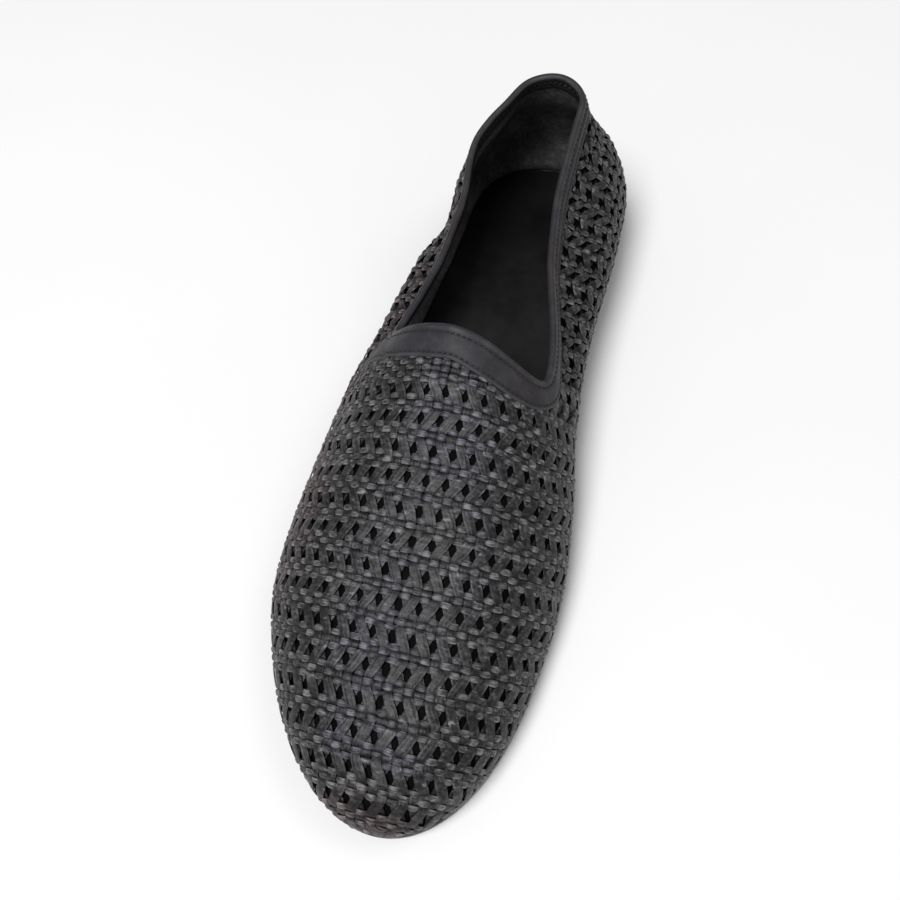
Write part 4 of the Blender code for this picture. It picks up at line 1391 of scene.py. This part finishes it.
def strip_leather():
    """Charcoal strips with real rubbing, painted highlights where they stand proud and painted shade where
    they sink, with fine lines, flecks and a few painted glints.
    """
    shade = Shade("strip_leather")
    wear = shade.attribute("wear")
    along = shade.stretched(0.4)
    phase = shade.math("MULTIPLY", shade.attribute("across"), 7.5)
    lines = shade.math("SINE", shade.sum(phase, shade.swing(shade.noise(210.0), 2.5)), 0.0)
    worn_and_lit = shade.sum(
        wear,
        shade.swing(shade.noise(330.0, 6.0, 0.65), 0.15),
        shade.swing(shade.noise(850.0, 1.0, 0.5, along), 0.24),
        # painted glints: sparse bright spots drawn out along the wefts
        shade.range(shade.noise(640.0, 1.0, 0.5, along), 0.64, 0.74, 0.0, 0.42),
        shade.math("MULTIPLY", lines, shade.range(wear, 0.2, 0.8, 0.018, 0.07)),
    )
    colour = shade.ramp(worn_and_lit, (
        (0.0, (0.0024, 0.0023, 0.0024)), (0.25, (0.0110, 0.0107, 0.0111)), (0.5, (0.0320, 0.0314, 0.0326)),
        (0.75, (0.0740, 0.0728, 0.0752)), (1.0, (0.1600, 0.1580, 0.1610)),
    ))
    tone = shade.range(shade.attribute("tone"), 0.0, 1.0, 0.72, 1.24)
    toned = shade.blend("MULTIPLY", 1.0, colour, tone)
    patches = shade.swing(shade.noise(34.0, 3.0), 0.5)
    hue = shade.range(shade.sum(shade.attribute("blush"), patches), -1.5, 1.5, 0.0, 1.0)
    tint = shade.ramp(hue, (
        (0.08, (0.95, 0.95, 1.17)), (0.36, (1.0, 1.0, 1.02)),
        (0.62, (1.02, 1.0, 0.99)), (0.9, (1.22, 0.95, 0.96)),
    ))
    tinted = shade.blend("MULTIPLY", 1.0, toned, tint)
    roughness = shade.range(shade.noise(420.0), WIDE_LOW, WIDE_HIGH, 0.56, 0.36)
    grain = (shade.noise(1900.0, 6.0, 0.65), 0.35, 0.00025)
    creases = (shade.noise(480.0, 3.0), 0.30, 0.0005)
    ridges = (lines, 0.16, 0.0002)
    return shade.finish(tinted, roughness, (grain, creases, ridges), 0.32)


def binding_leather():
    """Smooth semi-matt leather with fine pores, rubbed along its edges, with painted highlight lines along
    the edges and the fold and painted shade on the fold's top.
    """
    shade = Shade("binding_leather")
    rub = shade.swing(shade.noise(150.0, 6.0, 0.7), 0.42)
    worn_and_lit = shade.sum(shade.math("MULTIPLY", shade.attribute("wear"), 0.75), rub)
    colour = shade.ramp(worn_and_lit, (
        (0.0, (0.024, 0.0232, 0.0256)), (0.4, (0.036, 0.0350, 0.0385)), (0.9, (0.058, 0.0565, 0.0615)),
    ))
    tint = shade.ramp(shade.noise(22.0, 2.0), (
        (0.3, (0.95, 0.97, 1.08)), (0.5, (1.0, 1.0, 1.0)), (0.7, (1.12, 0.98, 0.97)),
    ))
    tinted = shade.blend("MULTIPLY", 1.0, colour, tint)
    roughness = shade.range(shade.noise(240.0), WIDE_LOW, WIDE_HIGH, 0.58, 0.44)
    pores = (shade.cells(1500.0), 0.18, 0.0002)
    creases = (shade.noise(170.0, 5.0), 0.22, 0.0009)
    return shade.finish(tinted, roughness, (pores, creases), 0.22)


def thread_material():
    """Dark waxed thread with a twist."""
    shade = Shade("thread")
    node = shade.node("TexWave", {"Scale": 900.0, "Distortion": 1.5, "Vector": shade.where})
    node.wave_type = "BANDS"
    node.bands_direction = "DIAGONAL"
    twist = node.outputs["Fac"]
    colour = shade.ramp(twist, ((0.0, (0.0025, 0.0024, 0.0025)), (1.0, (0.007, 0.0068, 0.007))))
    roughness = shade.spread(shade.noise(900.0), 0.45, 0.62)
    return shade.finish(colour, roughness, ((twist, 0.4, 0.0002),))


def lining_leather():
    """Dark lining with a short nap and faint creases; the face behind the weave is painted near-black as
    shade.
    """
    shade = Shade("lining_leather")
    # painted shade: the face behind the weave, seen through the holes, near-black
    behind = shade.ramp(shade.noise(70.0), (
        (0.3, (0.0014, 0.0013, 0.0014)), (0.55, (0.0024, 0.0023, 0.0024)), (0.75, (0.0040, 0.0038, 0.0039)),
    ))
    nap = shade.sum(shade.noise(70.0), shade.swing(shade.noise(560.0, 4.0), 0.12))
    worn_and_lit = shade.ramp(nap, (
        (0.3, (0.060, 0.0595, 0.0595)), (0.55, (0.110, 0.1090, 0.1085)), (0.75, (0.185, 0.1830, 0.1820)),
    ))
    colour = shade.blend("MIX", shade.attribute("inside"), behind, worn_and_lit)
    roughness = shade.range(shade.noise(140.0), WIDE_LOW, WIDE_HIGH, 0.85, 0.70)
    grain = (shade.noise(2100.0, 5.0, 0.6), 0.20, 0.0002)
    creases = (shade.noise(85.0, 4.0), 0.25, 0.0012)
    return shade.finish(colour, roughness, (grain, creases), 0.06)


def insole_leather():
    """Dark sock leather, polished and a little greyer where a foot has rubbed."""
    shade = Shade("insole_leather")
    rubbed = shade.sum(shade.noise(18.0, 3.0), shade.swing(shade.noise(160.0), 0.08))
    colour = shade.ramp(rubbed, (
        (0.3, (0.0045, 0.0043, 0.0044)), (0.52, (0.0080, 0.0077, 0.0078)), (0.72, (0.0150, 0.0145, 0.0146)),
    ))
    roughness = shade.spread(shade.noise(60.0), 0.52, 0.36)
    grain = (shade.noise(2400.0, 5.0, 0.6), 0.18, 0.0002)
    creases = (shade.noise(60.0, 5.0), 0.18, 0.0014)
    return shade.finish(colour, roughness, (grain, creases), 0.14)


def edge_dressing():
    """Inked sole edge with rubbed corners and fine lines from trimming."""
    shade = Shade("edge_dressing")
    colour = shade.ramp(shade.noise(190.0, 5.0), (
        (0.35, (0.010, 0.0098, 0.0098)), (0.6, (0.019, 0.0182, 0.018)), (0.8, (0.040, 0.037, 0.035)),
    ))
    roughness = shade.spread(shade.noise(330.0), 0.50, 0.32)
    lines = (shade.noise(1300.0, 4.0), 0.22, 0.0002)
    dents = (shade.noise(240.0), 0.20, 0.0005)
    return shade.finish(colour, roughness, (lines, dents))


def tread_leather():
    """Scuffed underside."""
    shade = Shade("tread_leather")
    scuffs = shade.sum(shade.noise(45.0, 6.0, 0.7), shade.swing(shade.noise(800.0, 4.0), 0.1))
    colour = shade.ramp(scuffs, (
        (0.35, (0.016, 0.015, 0.0145)), (0.55, (0.030, 0.028, 0.026)), (0.75, (0.068, 0.061, 0.054)),
    ))
    roughness = shade.spread(shade.noise(90.0), 0.80, 0.55)
    return shade.finish(colour, roughness, ((shade.noise(900.0, 6.0, 0.7), 0.35, 0.0004),))


def heel_rubber():
    """Matt moulded rubber."""
    shade = Shade("heel_rubber")
    colour = shade.ramp(shade.noise(120.0, 5.0), (
        (0.35, (0.011, 0.011, 0.011)), (0.6, (0.017, 0.017, 0.0168)), (0.8, (0.034, 0.033, 0.032)),
    ))
    roughness = shade.spread(shade.noise(500.0), 0.78, 0.58)
    return shade.finish(colour, roughness, ((shade.cells(1600.0), 0.25, 0.0002),))


def floor_material():
    """Plain pale floor."""
    shade = Shade("floor")
    colour = shade.ramp(shade.noise(3.0, 3.0), ((0.3, (0.86, 0.86, 0.86)), (0.7, (0.89, 0.89, 0.89))))
    roughness = shade.spread(shade.noise(40.0), 0.75, 0.85)
    return shade.finish(colour, roughness, ((shade.noise(900.0), 0.02, 0.0002),), 0.2)


STRIP = strip_leather()
BINDING = binding_leather()
THREAD = thread_material()
LINING = lining_leather()
INSOLE = insole_leather()
EDGE_INK = edge_dressing()
TREAD = tread_leather()
RUBBER = heel_rubber()


def set_faces(piece, chosen):
    """Gives the chosen faces the second material."""
    piece.data.polygons.foreach_set("material_index", np.asarray(chosen, np.int32))
    piece.data.update()


# the upper
TOE_WEFTS, VAMP_WEFTS, QUARTER_WEFTS = weft_paths()
make_piece("toe_wefts", *sweep(TOE_WEFTS, WEFT_PROFILE), [STRIP], "upper")
make_piece("vamp_wefts", *sweep(VAMP_WEFTS, WEFT_PROFILE), [STRIP], "upper")
make_piece("quarter_wefts", *sweep(QUARTER_WEFTS, WEFT_PROFILE), [STRIP], "upper")
make_piece("warps_over", *sweep(warp_paths(True), WARP_PROFILE), [STRIP], "upper", SHARP_STRIP)
make_piece("warps_under", *sweep(warp_paths(False), WARP_PROFILE), [STRIP], "upper", SHARP_STRIP)
make_piece("lining", *lining_shell(), [LINING], "upper")

# the binding
strip_points, strip_faces, strip_wear_and_light = binding_strip()
tab_vertices, tab_faces, tab_wear_and_light = binding_tab()
BOUND = join([(strip_points, strip_faces), (tab_vertices, tab_faces)])
make_piece("binding", *BOUND, {"wear": np.concatenate([strip_wear_and_light, tab_wear_and_light])}, [BINDING], "collar_binding")
STITCHES = join([
    edge_stitches(1.0, STITCH_LOWER, STITCH_LOWER_HEIGHT, False),
    edge_stitches(0.0, STITCH_UPPER, STITCH_UPPER_HEIGHT, False),
    edge_stitches(0.0, STITCH_INSIDE, STITCH_INSIDE_HEIGHT, True),
    stitch_row(*tab_points(1.0, STITCH_LOWER, STITCH_TAB_HEIGHT)),
    stitch_row(*tab_points(0.0, STITCH_UPPER, STITCH_TAB_HEIGHT)),
])
make_piece("binding_stitches", *STITCHES, {}, [THREAD], "collar_binding")

# the sole, heel and insole
sole = make_piece("sole", *sole_plate(), {}, [EDGE_INK, TREAD], "outsole", SHARP_SOLE)
set_faces(sole, [polygon.normal.z < FACING_DOWN for polygon in sole.data.polygons])
make_piece("insole_sock", *insole_plate(), {}, [INSOLE], "insole")
heel = make_piece("heel_lift", *heel_block(), {}, [EDGE_INK, RUBBER], "heel", SHARP_HEEL)
set_faces(heel, [polygon.center.z < HEEL_SPLIT * METRES for polygon in heel.data.polygons])


# the stage
def make_floor():
    """Level floor under the sole."""
    mesh = bpy.data.meshes.new("floor")
    corners = [(x * FLOOR_REACH, y * FLOOR_REACH, 0.0) for x, y in ((-1, -1), (1, -1), (1, 1), (-1, 1))]
    mesh.from_pydata(corners, [], [(0, 1, 2, 3)])
    mesh.materials.append(floor_material())
    piece = bpy.data.objects.new("floor", mesh)
    bpy.context.scene.collection.objects.link(piece)


def make_light(name, place_m, size_m, watts):
    """Round soft light aimed at the shoe."""
    light = bpy.data.lights.new(name, "AREA")
    light.shape = "DISK"
    light.size = size_m
    light.energy = watts
    lamp = bpy.data.objects.new(name, light)
    bpy.context.scene.collection.objects.link(lamp)
    lamp.location = place_m
    lamp.rotation_euler = (Vector(LIGHT_AIM) - Vector(place_m)).to_track_quat("-Z", "Y").to_euler()


def make_camera():
    """Camera set by its angles and distance from a target."""
    azimuth, elevation, roll = (math.radians(v) for v in (VIEW_AZIMUTH, VIEW_ELEVATION, VIEW_ROLL))
    back = np.array([
        math.sin(azimuth) * math.cos(elevation),
        -math.cos(azimuth) * math.cos(elevation),
        math.sin(elevation),
    ])
    right = np.array([math.cos(azimuth), math.sin(azimuth), 0.0])
    up = np.cross(back, right)
    across = right * math.cos(roll) + up * math.sin(roll)
    upright = up * math.cos(roll) - right * math.sin(roll)
    data = bpy.data.cameras.new("camera")
    data.sensor_width = SENSOR_WIDTH
    data.lens = VIEW_LENS
    data.clip_start = NEAREST_SEEN
    camera = bpy.data.objects.new("camera", data)
    bpy.context.scene.collection.objects.link(camera)
    turned = Matrix([list(across), list(upright), list(back)]).transposed().to_4x4()
    turned.translation = Vector((VIEW_TARGET + back * VIEW_DISTANCE - CENTRE) * METRES)
    camera.matrix_world = turned
    bpy.context.scene.camera = camera


def make_world():
    """Even white light from all round."""
    world = bpy.data.worlds.new("world")
    world.use_nodes = True
    background = world.node_tree.nodes["Background"]
    background.inputs["Color"].default_value = (1.0, 1.0, 1.0, 1.0)
    background.inputs["Strength"].default_value = WORLD_STRENGTH
    bpy.context.scene.world = world


make_floor()
for light_row in LIGHT_ROWS:
    make_light(*light_row)
make_world()
make_camera()
bpy.context.scene.view_settings.view_transform = "Standard"
